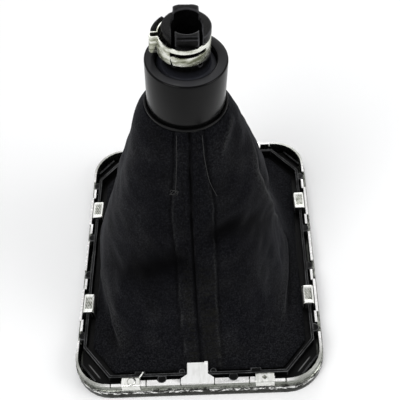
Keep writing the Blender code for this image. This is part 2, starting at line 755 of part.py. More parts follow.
def make_neck_ring(parts, material):
    """The ring that closes the gaiter's neck at the foot of the collar."""
    inner = COLLAR_BASE_RADIUS + CLEARANCE
    outer = inner + NECK_RING_WIDTH
    third = NECK_RING_HEIGHT / 3
    profile = ((inner, NECK_RING_HEIGHT), (outer - third, NECK_RING_HEIGHT),
               (outer, NECK_RING_HEIGHT - third), (outer, 0.0), (inner, 0.0))
    ring = turned("neck_ring", profile, parts)
    finish_piece(ring, material)
    return ring


def core_profile():
    """The core's section: tube, flange in the collar's recess and bevelled tip."""
    tip = CORE_TIP_BEVEL
    flange = COLLAR_RECESS_RADIUS - CLEARANCE
    flange_low = COLLAR_FLOOR + CLEARANCE
    bore_floor = CORE_FLOOR_THICKNESS - CORE_DEPTH_IN_HEAD
    return (
        (0.0, bore_floor),
        (LEVER_BORE_RADIUS, bore_floor),
        (LEVER_BORE_RADIUS, CORE_HEIGHT - tip / 2),
        (LEVER_BORE_RADIUS + tip / 2, CORE_HEIGHT),
        (CORE_RADIUS - tip, CORE_HEIGHT),
        (CORE_RADIUS, CORE_HEIGHT - tip),
        (CORE_RADIUS, CLAMP_TOP + CLEARANCE),
        (CORE_GROOVE_RADIUS, CLAMP_TOP + CLEARANCE),
        (CORE_GROOVE_RADIUS, CLAMP_BASE - CLEARANCE),
        (CORE_RADIUS, CLAMP_BASE - CLEARANCE),
        (CORE_RADIUS, flange_low + CORE_FLANGE_HEIGHT),
        (flange, flange_low + CORE_FLANGE_HEIGHT),
        (flange, flange_low + COLLAR_EDGE),
        (flange - COLLAR_EDGE, flange_low),
        (CORE_RADIUS, flange_low),
        (CORE_RADIUS, -CORE_DEPTH_IN_HEAD),
        (0.0, -CORE_DEPTH_IN_HEAD),
    )


def finger_cuts(cuts):
    """Slots between the four fingers, their heights, two flats and the front bevel."""
    span = CORE_RADIUS * 3
    reach = CORE_RADIUS
    for side in (-1, 1):
        for way, width in ((-1, FRONT_SLOT_WIDTH), (1, REAR_SLOT_WIDTH)):
            box(f"finger_slot_{side}_{way}", (width, span / 2, FINGER_SLOT_DEPTH * 2),
                (side * FINGER_SLOT_X, way * span / 4, CORE_HEIGHT), cuts)
        box(f"finger_flat_{side}", (FINGER_SLOT_X * 2, reach, FINGER_FLAT_DEPTH * 2),
            (0.0, side * (FINGER_FLAT_Y + reach / 2), CORE_HEIGHT), cuts)
        box(f"side_finger_top_{side}", (reach, span, SIDE_FINGER_DROP * 2),
            (side * (FINGER_SLOT_X + reach / 2), 0.0, CORE_HEIGHT), cuts)
    box("front_finger_top", (FINGER_SLOT_X * 2, span, FRONT_FINGER_DROP * 2),
        (0.0, -span / 2, CORE_HEIGHT), cuts)
    bevel = box("front_bevel", (span, span, FRONT_FINGER_BEVEL), (0.0, 0.0, 0.0), cuts)
    bevel.rotation_euler.x = math.radians(45)
    edge = Vector((0.0, -FINGER_FLAT_Y, CORE_HEIGHT - FRONT_FINGER_DROP - FRONT_FINGER_BEVEL))
    bevel.location = edge + Vector((0.0, -1.0, 1.0)).normalized() * FRONT_FINGER_BEVEL / 2


def wing(added):
    """The curved wall behind the clamp's ear and the foot that joins it to the core."""
    low = COLLAR_HEIGHT + CLEARANCE
    inner = WING_RADIUS - WING_THICKNESS
    reach = WING_RADIUS - WING_THICKNESS / 3
    sector("wing_foot", WING_START + 1, WING_END - 1, CORE_GROOVE_RADIUS, reach, low,
           WING_FOOT_TOP, added)
    sector("wing", WING_START, WING_END, inner, WING_RADIUS, low + WING_FOOT_HEIGHT / 2,
           low + WING_HEIGHT, added)


def make_core(parts, material):
    """The lever socket: a tube with four split fingers and a curved wing."""
    core = turned("knob_core", core_profile(), parts)
    core.rotation_euler.z = math.radians(FINGER_TURN)
    cuts = helper_collection("core_cuts")
    added = helper_collection("core_shapes")
    finger_cuts(cuts)
    wing(added)
    for helper in list(cuts.objects) + list(added.objects):
        helper.parent = core
    boolean(core, cuts, "DIFFERENCE")
    boolean(core, added, "UNION")
    finish_piece(core, material)
    return core


def clamp_line():
    """The clamp's inner line seen along its own axis: a circle with one raised ear."""
    ear = math.radians(CLAMP_EAR_AZIMUTH)
    half_angle = math.asin(CLAMP_EAR_WIDTH / 2 / CLAMP_INNER_RADIUS)
    sweep = 2 * math.pi - 2 * half_angle
    line = []
    for step in range(ROUND_STEPS + 1):
        angle = ear + half_angle + sweep * step / ROUND_STEPS
        line.append(CLAMP_INNER_RADIUS * Vector((math.cos(angle), math.sin(angle))))
    out = Vector((math.cos(ear), math.sin(ear)))
    across = Vector((-out.y, out.x))
    crown = CLAMP_EAR_WIDTH / 2
    centre = out * (CLAMP_INNER_RADIUS + CLAMP_EAR_REACH - crown / 2 - CLAMP_THICKNESS)
    for step in range(SMALL_ROUND_STEPS // 2 + 1):
        angle = math.pi * step / (SMALL_ROUND_STEPS // 2)
        line.append(centre - across * crown * math.cos(angle) + out * crown / 2
                    * math.sin(angle))
    return line


def sector(name, start, end, inner, outer, low, high, where):
    """A ring sector between two azimuths, two radii and two heights."""
    steps = SMALL_ROUND_STEPS
    angles = [math.radians(start + (end - start) * step / steps) for step in range(steps + 1)]
    points = [(outer * math.cos(angle), outer * math.sin(angle)) for angle in angles]
    points += [(inner * math.cos(angle), inner * math.sin(angle)) for angle in angles[::-1]]
    return plate(name, (points,), low, high, where)


def make_ear_clamp(parts, material):
    """The steel band with its ear, the long slot in its front half and the end's slit."""
    line = clamp_line()
    shape = bmesh.new()
    rows = [[shape.verts.new((x, y, z)) for x, y in line] for z in (CLAMP_BASE, CLAMP_TOP)]
    count = len(line)
    for i in range(count):
        after = (i + 1) % count
        shape.faces.new((rows[0][i], rows[0][after], rows[1][after], rows[1][i]))
    clamp = new_object("ear_clamp", mesh_from_bmesh("ear_clamp", shape), parts)
    clamp.location.x = -CLAMP_OFFSET
    wall = clamp.modifiers.new("band", "SOLIDIFY")
    wall.thickness = CLAMP_THICKNESS
    wall.offset = 1.0
    wall.use_even_offset = True
    cuts = helper_collection("clamp_cuts")
    inner = CLAMP_INNER_RADIUS - CLAMP_THICKNESS
    outer = CLAMP_INNER_RADIUS + CLAMP_THICKNESS * 2
    slot_top = CLAMP_TOP - CLAMP_UPPER_STRIP
    sector("clamp_slot", CLAMP_SLOT_START, CLAMP_SLOT_END, inner, outer,
           slot_top - CLAMP_SLOT_WIDTH, slot_top, cuts)
    sector("clamp_slit", CLAMP_SLOT_START, CLAMP_SLOT_START + CLAMP_SLIT_ANGLE, inner, outer,
           CLAMP_BASE - CLAMP_THICKNESS, slot_top - CLAMP_SLOT_WIDTH / 2, cuts)
    for cutter in cuts.objects:
        cutter.parent = clamp
    boolean(clamp, cuts, "DIFFERENCE")
    finish_piece(clamp, material)
    return clamp


def smooth_line(points, steps):
    """A Catmull-Rom curve through a few points."""
    ends = [points[0], *points, points[-1]]
    line = []
    for before, first, second, after in zip(ends, ends[1:], ends[2:], ends[3:]):
        for step in range(steps):
            t = step / steps
            line.append(tuple(
                0.5 * (2 * b + (c - a) * t + (2 * a - 5 * b + 4 * c - d) * t * t
                       + (3 * b - a - 3 * c + d) * t ** 3)
                for a, b, c, d in zip(before, first, second, after)))
    line.append(points[-1])
    return line


def head_profile():
    """The head's section, from its shoulder under the collar down to its end face."""
    shoulder = -CLEARANCE
    socket = CORE_RADIUS + CLEARANCE
    middle = (HEAD_SHOULDER_RADIUS + HEAD_GRIP_RADIUS) / 2
    grip = [
        (HEAD_SHOULDER_RADIUS, shoulder - COLLAR_EDGE),
        (middle - COLLAR_EDGE, -HEAD_GRIP_DEPTH * 0.45),
        (HEAD_GRIP_RADIUS, -HEAD_GRIP_DEPTH),
        ((HEAD_GRIP_RADIUS * 2 + HEAD_FACE_RADIUS) / 3, -(HEAD_GRIP_DEPTH + HEAD_LENGTH) / 2),
        (HEAD_FACE_RADIUS, -HEAD_LENGTH),
    ]
    socket_floor = -CORE_DEPTH_IN_HEAD - CLEARANCE
    return ([(0.0, socket_floor), (socket, socket_floor), (socket, shoulder),
             (HEAD_SHOULDER_RADIUS - COLLAR_EDGE, shoulder)]
            + smooth_line(grip, 2) + [(0.0, -HEAD_LENGTH)])


def make_head(parts, material):
    """The grip, a turned body with a socket for the core."""
    head = turned("knob_head", head_profile(), parts, HEAD_STEPS)
    finish_piece(head, material)
    return head


def make_head_trim(parts, ring_material, cap_material):
    """The bright ring on the head's end face and the cap inside it."""
    face = -HEAD_LENGTH - CLEARANCE
    outer = HEAD_FACE_RADIUS
    inner = outer - TRIM_RING_WIDTH
    end = face - TRIM_RING_HEIGHT
    edge = TRIM_RING_WIDTH / 4
    ring = turned("head_trim_ring", ((inner, face), (outer, face), (outer, end + edge),
                                     (outer - edge, end), (inner + edge, end),
                                     (inner, end + edge)), parts, HEAD_STEPS)
    finish_piece(ring, ring_material)
    radius = inner - CLEARANCE
    cap_end = face - CAP_THICKNESS
    rise = [(radius * math.sin(math.radians(a)), cap_end - CAP_CROWN * math.cos(math.radians(a)))
            for a in (90, 60, 30, 0)]
    cap = turned("head_cap", [(0.0, face), (radius, face)] + rise, parts, HEAD_STEPS)
    finish_piece(cap, cap_material)
    return ring, cap


def hem_radius(angle):
    """Distance from the middle of the frame to the octagonal hem along an angle."""
    line = rib_octagon(RIB_THICKNESS + HEM_INSET)
    ray = Vector((math.cos(angle), math.sin(angle)))
    reach = 0.0
    for start, end in zip(line, line[1:] + line[:1]):
        a = Vector(start)
        edge = Vector(end) - a
        cross = ray.x * edge.y - ray.y * edge.x
        if abs(cross) < 1e-12:
            continue
        distance = (a.x * edge.y - a.y * edge.x) / cross
        along = (a.x * ray.y - a.y * ray.x) / cross
        if distance > 0 and -1e-9 <= along <= 1 + 1e-9:
            reach = max(reach, distance)
    return reach


def fold_distance(angle, up, points):
    """Distance along the cloth from a place to a fold's line of azimuths and heights."""
    rise = KNOB_HEIGHT - HEM_HEIGHT
    girth = (NECK_RADIUS + HEM_HALF_WIDTH) / 2
    nearest = rise
    for (start_angle, start_up), (end_angle, end_up) in zip(points, points[1:]):
        turn = (math.degrees(angle) - start_angle + 180.0) % 360.0 - 180.0
        place = Vector((math.radians(turn) * girth, (up - start_up) * rise))
        line = Vector((math.radians(end_angle - start_angle) * girth,
                       (end_up - start_up) * rise))
        share = max(0.0, min(1.0, place.dot(line) / line.length_squared))
        nearest = min(nearest, (place - line * share).length)
    return nearest


def fold_lift(angle, up):
    """How far the folds lift the cloth at an angle and a share of the way up."""
    lift = 0.0
    for points, rise_share, width_share in GAITER_FOLDS:
        across = fold_distance(angle, up, points) / (FOLD_HALF_WIDTH * width_share)
        lift += FOLD_RISE * rise_share * math.exp(-across ** 2)
    return lift


def gaiter_section(level, angle, lean):
    """One point of the gaiter's outer surface, at a level and an angle round it."""
    up, left, right, front, back, roundness = level
    across = right if math.cos(angle) > 0 else left
    along = back if math.sin(angle) > 0 else front
    reach = hem_radius(angle)
    flat = Vector((math.cos(angle) * reach / HEM_HALF_WIDTH,
                   math.sin(angle) * reach / HEM_HALF_LENGTH))
    unit = flat.lerp(Vector((math.cos(angle), math.sin(angle))), roundness)
    lift = fold_lift(angle, up)
    x = unit.x * (NECK_RADIUS + across * (HEM_HALF_WIDTH - NECK_RADIUS) + lift)
    y = unit.y * (NECK_RADIUS + along * (HEM_HALF_LENGTH - NECK_RADIUS) + lift)
    neck = Vector((KNOB_X, KNOB_Y, KNOB_HEIGHT)) - lean @ Vector((0.0, 0.0, CLEARANCE))
    middle = Vector((0.0, 0.0, HEM_HEIGHT)).lerp(neck, up)
    tilted = lean @ Vector((x, y, 0.0))
    return middle + Vector((x, y, 0.0)).lerp(tilted, up ** 3)


def make_gaiter(parts, material):
    """The fabric cover: an open shell lofted from the hem to the neck."""
    lean = Euler((math.radians(LEAN_TO_FRONT), math.radians(LEAN_TO_RIGHT), 0.0)).to_matrix()
    shape = bmesh.new()
    rings = []
    body = smooth_line(BODY_LEVELS, BODY_RINGS_PER_LEVEL)
    for level in (*HEM_LEVELS, *body, *NECK_LEVELS):
        angles = [2 * math.pi * step / GAITER_STEPS_AROUND
                  for step in range(GAITER_STEPS_AROUND)]
        rings.append([shape.verts.new(gaiter_section(level, angle, lean)) for angle in angles])
    for low, high in zip(rings, rings[1:]):
        for i in range(GAITER_STEPS_AROUND):
            after = (i + 1) % GAITER_STEPS_AROUND
            shape.faces.new((low[i], low[after], high[after], high[i]))
    gaiter = new_object("gaiter", mesh_from_bmesh("gaiter", shape), parts)
    wall = gaiter.modifiers.new("fabric", "SOLIDIFY")
    wall.thickness = GAITER_THICKNESS
    wall.offset = -1.0
    wall.use_even_offset = True
    finish_piece(gaiter, material)
    return gaiter


def main():
    """Builds every piece."""
    clear_scene()
    parts = collection(PARTS)
    plating, steel = bright_plating(), spring_steel()
    satin = satin_plastic()
    make_bezel(parts, plating)
    make_carrier(parts, carrier_plastic())
    make_side_clips(parts, steel)
    make_end_clips(parts, steel)
    make_latch(parts, steel)
    make_gaiter(parts, gaiter_lining())
    axis = make_knob_axis(parts)
    on_axis = [
        make_collar(parts, satin),
        make_neck_ring(parts, satin),
        make_core(parts, satin),
        make_ear_clamp(parts, steel),
        make_head(parts, head_leather()),
        *make_head_trim(parts, plating, gloss_cap()),
    ]
    for piece in on_axis:
        piece.parent = axis


main()
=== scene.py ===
"""Looks of a car's gear knob with its gaiter and console frame: finishes, cloth and light."""

import math

import bmesh
import bpy
import numpy as np
from mathutils import Euler, Matrix, Vector
from mathutils.bvhtree import BVHTree


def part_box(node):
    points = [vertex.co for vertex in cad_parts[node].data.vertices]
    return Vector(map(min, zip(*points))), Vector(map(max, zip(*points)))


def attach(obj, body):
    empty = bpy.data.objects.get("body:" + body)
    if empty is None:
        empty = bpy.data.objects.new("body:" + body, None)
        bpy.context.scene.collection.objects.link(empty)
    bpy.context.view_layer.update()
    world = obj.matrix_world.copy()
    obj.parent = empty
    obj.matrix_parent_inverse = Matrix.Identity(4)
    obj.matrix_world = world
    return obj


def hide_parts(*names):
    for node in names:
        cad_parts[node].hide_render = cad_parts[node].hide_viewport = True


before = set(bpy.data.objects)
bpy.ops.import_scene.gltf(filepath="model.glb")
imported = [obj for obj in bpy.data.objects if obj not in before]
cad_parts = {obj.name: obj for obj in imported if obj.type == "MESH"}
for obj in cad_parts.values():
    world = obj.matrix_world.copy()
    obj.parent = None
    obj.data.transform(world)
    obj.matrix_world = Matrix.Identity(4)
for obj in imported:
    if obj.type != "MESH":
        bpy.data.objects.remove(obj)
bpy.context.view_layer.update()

MM = 0.001

# The knob's leaning axis in metres, as in the CAD, and the way to it and back
KNOB_PLACE = Vector((0.0044, 0.0011, 0.1287))
KNOB_LEAN = Euler((math.radians(1.1), math.radians(5.6), 0.0)).to_matrix()
KNOB_FRAME = Matrix.Translation(KNOB_PLACE) @ KNOB_LEAN.to_4x4()
KNOB_BACK = KNOB_FRAME.inverted()

# The gaiter in metres: its octagonal hem, its round neck and its cloth
HEM_HALF_WIDTH = 0.0557
HEM_HALF_LENGTH = 0.0703
HEM_CORNER = (0.01249, 0.01520)
HEM_HEIGHT = 0.0046
NECK_RADIUS = 0.0190
GAITER_THICKNESS = 0.0010

# Share of the way up, then how far the left, right, front and back stand out of the neck
# towards the hem there, and how round the section is
GAITER_LEVELS = (
    (0.000, 1.000, 1.000, 1.000, 1.000, 0.00),
    (0.012, 1.000, 1.000, 1.000, 1.000, 0.00),
    (0.035, 0.975, 0.910, 0.940, 0.870, 0.45),
    (0.080, 0.965, 0.830, 0.890, 0.825, 0.68),
    (0.165, 0.955, 0.720, 0.800, 0.780, 0.76),
    (0.325, 0.800, 0.600, 0.615, 0.690, 0.86),
    (0.486, 0.600, 0.550, 0.450, 0.530, 0.95),
    (0.647, 0.450, 0.440, 0.300, 0.370, 1.00),
    (0.808, 0.275, 0.270, 0.160, 0.210, 1.00),
    (0.912, 0.175, 0.155, 0.085, 0.110, 1.00),
    (0.965, 0.090, 0.080, 0.045, 0.055, 1.00),
    (1.000, 0.000, 0.000, 0.000, 0.000, 1.00),
)

# Lines on the gaiter, in millimetres
FRONT_SEAM = ((6.0, -17.9, 127.7), (4.7, -24.7, 109.2), (4.0, -29.5, 95.5), (3.2, -33.8, 84.2),
              (2.8, -40.4, 67.5), (1.9, -52.7, 39.5), (2.0, -64.9, 13.6), (1.9, -68.8, 6.0))
RIGHT_RIDGE = ((31.5, 4.0, 108.0), (33.5, -3.2, 98.0), (34.1, -9.4, 90.6), (36.4, -10.0, 82.4),
               (38.3, -10.4, 72.5), (41.7, -4.2, 53.5), (44.6, 4.0, 36.0), (48.0, 8.5, 24.0))
NECK_FOLD = ((25.6, -3.1, 124.0), (23.3, -10.0, 121.3), (20.7, -15.5, 117.2),
             (19.5, -19.0, 111.0))
RIGHT_HOLLOW = ((39.7, -14.1, 56.9), (26.7, -29.0, 73.5), (14.9, -34.9, 75.6))
LEFT_HOLLOW = ((-41.9, -27.7, 40.2), (-20.8, -40.4, 55.4), (-6.3, -41.3, 63.3))
LEFT_CREASE = ((-54.5, -15.0, 20.0), (-52.5, -27.0, 19.0), (-50.5, -35.0, 16.5),
               (-48.5, -42.0, 13.5), (-46.8, -48.5, 11.0), (-44.0, -56.0, 9.0),
               (-41.0, -63.5, 7.5))
RIGHT_CREASE = ((48.5, 11.0, 17.0), (50.5, 4.0, 12.0), (51.6, -6.0, 9.8), (51.2, -18.0, 9.4),
                (50.4, -29.0, 9.2), (49.0, -41.0, 9.0), (47.4, -51.0, 9.0))
LEFT_THREAD = ((0.5, -18.0, 127.2), (0.1, -20.1, 123.1), (-0.4, -22.2, 116.8),
               (-1.7, -24.9, 107.6), (-2.4, -26.7, 101.9), (-2.7, -27.6, 99.6))
RIGHT_THREAD = ((11.3, -17.5, 125.8), (11.3, -19.9, 120.6), (11.6, -22.1, 113.6),
                (12.8, -24.9, 103.6), (15.8, -27.2, 94.6))
RIPPLE_PLACE = (-14.6, -50.0, 40.0)

# The cloth: the cosine at which left and right, or front and back, have run into each other,
# and the columns and rows of its mesh
SIDE_BLEND = 0.3125
GAITER_COLUMNS = 288
GAITER_ROWS = 170

# The front seam's stitches in millimetres, and the share of the seam that they run along
STITCH_OFFSET = 3.4
STITCH_LIFT = 0.03
STITCH_SIZES = {"Stitch Spacing": 3.2, "Stitch Length": 2.3, "Thread Radius": 0.13}
STITCH_RUN = (0.04, 0.97)

# The loose thread tails in millimetres: radius and waver, and the knot in the left one by its
# points, the angle from one to the next, its middle and its reach
TAIL_RADIUS = 0.11
TAIL_WAVER = 0.12
KNOT_POINTS = 16
KNOT_ANGLE = 0.85
KNOT_MIDDLE = (-0.8, 0.0, -0.5)
KNOT_REACH = (1.9, -0.2, 1.4)

# Turned pieces as radius and height on the knob's axis, in millimetres
COLLAR_PROFILE = ((10.7, 20.4), (13.3, 20.4), (13.3, 26.4), (16.4, 26.4), (18.0, 26.3),
                  (17.7, 0.0), (10.7, 0.0))
BAND_PROFILE = ((18.0, 0.0), (18.0, 1.5), (19.0, 1.5), (19.0, 0.0))
GRIP_PROFILE = ((0.0, -25.3), (10.7, -25.3), (10.7, -0.3), (16.6, -0.3), (17.2, -0.9),
                (18.6, -12.0), (20.6, -24.0), (22.7, -36.0), (23.5, -46.0), (22.9, -56.0),
                (21.2, -65.0), (18.5, -72.0), (0.0, -72.0))
TRIM_PROFILE = ((16.3, -72.3), (18.5, -72.3), (18.5, -75.3), (16.3, -75.3))
CAP_PROFILE = ((0.0, -72.3), (16.0, -72.3), (16.0, -74.9), (13.0, -75.7), (8.0, -76.1),
               (0.0, -76.3))

# The core's mesh, in millimetres and smoothing passes
CORE_CELL = 0.34
CORE_PASSES = 6

# The clamp's slit: the turns in degrees that hold its two sides, how far each side moves, and
# the heights in millimetres of the lower band and of the corner that is lifted
SLIT_LEFT = (-125.0, -123.5)
SLIT_RIGHT = (-122.5, -121.0)
SLIT_LEFT_MOVE = 2.2
SLIT_RIGHT_MOVE = 5.0
LOWER_BAND_TOP = 33.0
LIFTED_CORNER = 36.1
LIFT = 0.45
LIFT_MOVE = -0.8

# The bezel's foot in millimetres: its spread and height, the radius of the frame's corners
# and the depth of the wall that moves
FOOT_SPREAD = 1.5
FOOT_HEIGHT = 5.3
BEZEL_CORNER = 22.0
BEZEL_WALL = 1.0

# Spring clips in millimetres: width and reach of each kind, and the sheet they are bent from
SIDE_CLIP = (11.0, 6.1)
END_CLIP = (9.4, 5.4)
CLIP_SHEET = 0.5
CLIP_BEND = 0.9
CLIP_LEG = 5.0
BOSS_HEIGHT = 0.45
DIAMOND_DEPTH = 0.10
DISH_DEPTH = 0.22

# The sliver torn from one front clip, in millimetres: where it starts from the clip's middle,
# how far it runs and rises, and half its width
SLIVER_START = (2.1, -4.2, -0.25)
SLIVER_RUN = (2.3, -2.2)
SLIVER_RISE = 1.7
SLIVER_HALF_WIDTH = 0.28

# Spans in metres over which a finish and its painted light and shade change: heights above the
# floor for the bezel and the carrier, and heights along the knob's axis for the core and the clamp
BEZEL_FOOT_TOP = (0.0035, 0.0040)
BEZEL_WALL_TOP = (0.0048, 0.0053)
BEZEL_LEDGE_TOP = (0.0088, 0.0096)
BEZEL_RIM_TOP = (0.0094, 0.0097)
CARRIER_HIGHLIGHT_FROM = (0.0052, 0.0060)
CORE_FLANGE_TOP = (0.0240, 0.0280)
CLAMP_SHADE_RISE = (0.0350, 0.0385)

# Spans in metres to the side, or to the front and rear, over which a finish and its painted light
# change
BEZEL_CORNER_X = (0.043, 0.052)
BEZEL_CORNER_Y = (0.056, 0.066)
CORE_LEFT_SIDE = (0.0022, 0.0034)
COLLAR_FRONT = (-0.018, 0.004)

# The collar's end by height and radius on its own axis, in millimetres, where its painted
# highlight band and painted dark edge lie
COLLAR_END_RISE = (25.6, 26.1)
COLLAR_BAND_REACH = (13.2, 14.6)
COLLAR_EDGE_RISE = (24.6, 25.1)
COLLAR_EDGE_REACH = (17.15, 17.40)

# The thin painted highlight line across each corner of the carrier, in metres
CORNER_LINE_WAY = (0.769, 0.639)
CORNER_LINE_REACH = 0.0858
CORNER_LINE_MIDDLE = 0.0180
CORNER_LINE_HALF_WIDTH = (0.00012, 0.00038)
CORNER_LINE_HALF_LENGTH = (0.0040, 0.0056)
CORNER_LINE_TOP = (0.0046, 0.0052)

# The camera: angles in degrees, lens in millimetres, aim and distance in metres
CAMERA_AZIMUTH = 5.8
CAMERA_ELEVATION = 51.8
CAMERA_ROLL = -7.4
CAMERA_LENS = 72.0
CAMERA_AIM = (0.0005, 0.045, 0.0)
CAMERA_DISTANCE = 0.488

# Lamps: name, place, size and power
LAMPS = (("key", (-0.55, -0.75, 1.10), 0.70, 7.8),
         ("side", (0.95, -0.25, 0.70), 0.60, 4.2),
         ("rear", (0.10, 1.15, 0.60), 0.80, 4.0))
LAMP_AIM = (0.0, 0.0, 0.06)
FILL_STRENGTH = 0.55

# What reflections see: how far back a direction points, and the room's strength there
ROOM_DEPTH = (-0.45, 0.35)
ROOM_STRENGTH = (0.40, 1.0)


# Placing helpers

def show(name, mesh):
    """An object at the origin for a finished mesh."""
    made = bpy.data.objects.new(name, mesh)
    bpy.context.scene.collection.objects.link(made)
    return made


def mesh_of(name, shape, smooth_angle=35.0):
    """A mesh from a bmesh, smooth except across sharp edges."""
    mesh = bpy.data.meshes.new(name)
    shape.to_mesh(mesh)
    shape.free()
    mesh.shade_smooth()
    mesh.set_sharp_from_angle(angle=math.radians(smooth_angle))
    return mesh


def keep(piece, material, slot, *nodes):
    """Gives a finished piece its material and its place in the frame."""
    piece.data.materials.clear()
    piece.data.materials.append(material)
    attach(piece, "root")
    if nodes:
        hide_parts(*nodes)
    return piece


def merged(node):
    """A bmesh of a CAD node with its loose triangles joined."""
    shape = bmesh.new()
    shape.from_mesh(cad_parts[node].data)
    bmesh.ops.remove_doubles(shape, verts=shape.verts, dist=0.002 * MM)
    return shape


def settled(holder):
    """The smooth mesh of a curve or of an object with modifiers, which is then removed."""
    bpy.context.view_layer.update()
    graph = bpy.context.evaluated_depsgraph_get()
    mesh = bpy.data.meshes.new_from_object(holder.evaluated_get(graph))
    bpy.data.objects.remove(holder)
    mesh.shade_smooth()
    return mesh


def dressed(node, material, slot, bevel):
    """A merged copy of a CAD node with softened edges, which stands for that node."""
    shape = merged(node)
    bmesh.ops.dissolve_limit(shape, angle_limit=math.radians(0.5), verts=shape.verts,
                             edges=shape.edges)
    piece = show(node + "_dressed", mesh_of(node, shape))
    soft = piece.modifiers.new("edges", "BEVEL")
    soft.width = bevel * MM
    soft.segments = 2
    soft.limit_method = "ANGLE"
    soft.angle_limit = math.radians(35)
    soft.harden_normals = True
    return keep(piece, material, slot, node)


def moulded(node, material, slot):
    """A copy of a node on the knob's axis, rebuilt in small cells with its edges relaxed."""
    shape = merged(node)
    shape.transform(KNOB_BACK)
    rough = show(node + "_rough", mesh_of(node, shape))
    cells = rough.modifiers.new("cells", "REMESH")
    cells.mode = "VOXEL"
    cells.voxel_size = CORE_CELL * MM
    relax = rough.modifiers.new("relax", "SMOOTH")
    relax.factor = 0.5
    relax.iterations = CORE_PASSES
    mesh = settled(rough)
    mesh.transform(KNOB_FRAME)
    keep(show(node + "_dressed", mesh), material, slot, node)


def on_knob(point):
    """A point given on the knob's own axis, in the object's frame."""
    return KNOB_PLACE + KNOB_LEAN @ Vector(point)


def rounded(profile, radius):
    """A profile of radius and height with every corner off the axis rounded."""
    line = []
    for i, corner in enumerate(profile):
        here = Vector(corner)
        if here.x < 1e-6:
            line.append(here)
            continue
        before, after = Vector(profile[i - 1]), Vector(profile[(i + 1) % len(profile)])
        into, out = before - here, after - here
        reach = min(radius, into.length * 0.45, out.length * 0.45)
        into = into.normalized() * reach
        out = out.normalized() * reach
        for t in (0.0, 0.25, 0.5, 0.75, 1.0):
            line.append(here + into * (1 - t) ** 2 + out * t ** 2)
    return line


def turned(name, profile, radius, steps=96):
    """A profile on the knob's axis turned into a closed mesh with rounded corners."""
    line = rounded([(r * MM, z * MM) for r, z in profile], radius * MM)
    shape = bmesh.new()
    reach = shape.verts.layers.float.new("reach")
    rise = shape.verts.layers.float.new("rise")
    rings = []
    for r, z in line:
        if r < 1e-6:
            rings.append([shape.verts.new(on_knob((0.0, 0.0, z)))] * steps)
            continue
        rings.append([shape.verts.new(on_knob((r * math.cos(2 * math.pi * s / steps),
                                               r * math.sin(2 * math.pi * s / steps), z)))
                      for s in range(steps)])
    pairs = list(zip(rings, rings[1:]))
    if line[0].x > 1e-6:
        pairs.append((rings[-1], rings[0]))
    for low, high in pairs:
        for s in range(steps):
            t = (s + 1) % steps
            corners = list(dict.fromkeys((low[s], low[t], high[t], high[s])))
            if len(corners) > 2:
                shape.faces.new(corners)
    bmesh.ops.recalc_face_normals(shape, faces=shape.faces)
    for corner in shape.verts:
        place = KNOB_BACK @ corner.co
        corner[reach] = math.hypot(place.x, place.y) / MM
        corner[rise] = place.z / MM
    return show(name, mesh_of(name, shape, 30.0))


def thicken(piece, thickness, offset):
    """Gives a bare surface its wall; an offset of 0 keeps the surface in the middle."""
    wall = piece.modifiers.new("wall", "SOLIDIFY")
    wall.thickness = thickness
    wall.offset = offset


def bezel_piece(material):
    """The bezel, whose outer wall spreads into a low foot at the front and rear."""
    piece = dressed("bezel", material, "bright_plating", 0.15)
    half_width, half_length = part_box("bezel")[1][:2]
    for corner in piece.data.vertices:
        x, y, z = corner.co
        outer = half_width - abs(x) < BEZEL_WALL * MM or half_length - abs(y) < BEZEL_WALL * MM
        beyond = abs(y) - (half_length - BEZEL_CORNER * MM)
        wide = abs(x) - (half_width - BEZEL_CORNER * MM)
        if wide > 0 and beyond > 0:
            outer = math.hypot(wide, beyond) > (BEZEL_CORNER - BEZEL_WALL) * MM
        if outer and beyond > 0:
            share = min(beyond / (BEZEL_CORNER * MM), 1.0) ** 2
            low = max(0.0, 1.0 - z / (FOOT_HEIGHT * MM))
            corner.co.y += math.copysign(FOOT_SPREAD * MM * share * low, y)


# Finishes

class Nodes:
    """A node tree that is filled one node at a time."""

    def __init__(self, tree):
        self.tree = tree

    def add(self, kind, settings=None, **sockets):
        """A node; a socket value that is an output is linked to it."""
        made = self.tree.nodes.new(kind)
        for key, value in (settings or {}).items():
            setattr(made, key, value)
        for socket, value in sockets.items():
            self.join(value, made.inputs[socket.replace("_", " ")])
        return made

    def join(self, value, socket):
        if isinstance(value, bpy.types.NodeSocket):
            self.tree.links.new(value, socket)
        else:
            socket.default_value = value

    def feed(self, kind, settings, *values):
        """A node whose first inputs take these values in their order."""
        made = self.add(kind, settings)
        for value, socket in zip(values, made.inputs):
            self.join(value, socket)
        return made

    def levels(self, value, low, high, start=0.0, end=1.0):
        """Maps a value from the range start to end to the range low to high."""
        return self.feed("ShaderNodeMapRange", {}, value, start, end, low, high).outputs[0]

    def sums(self, operation, first, second=0.0):
        """One arithmetic step."""
        return self.feed("ShaderNodeMath", {"operation": operation}, first, second).outputs[0]

    def dot(self, first, second):
        """The dot product of two directions."""
        made = self.feed("ShaderNodeVectorMath", {"operation": "DOT_PRODUCT"}, first, second)
        return made.outputs["Value"]

    def times(self, first, second):
        return self.sums("MULTIPLY", first, second)

    def size(self, value):
        return self.sums("ABSOLUTE", value)

    def blend(self, share, first, second):
        """A mix of two shaders."""
        return self.feed("ShaderNodeMixShader", {}, share, first, second).outputs[0]


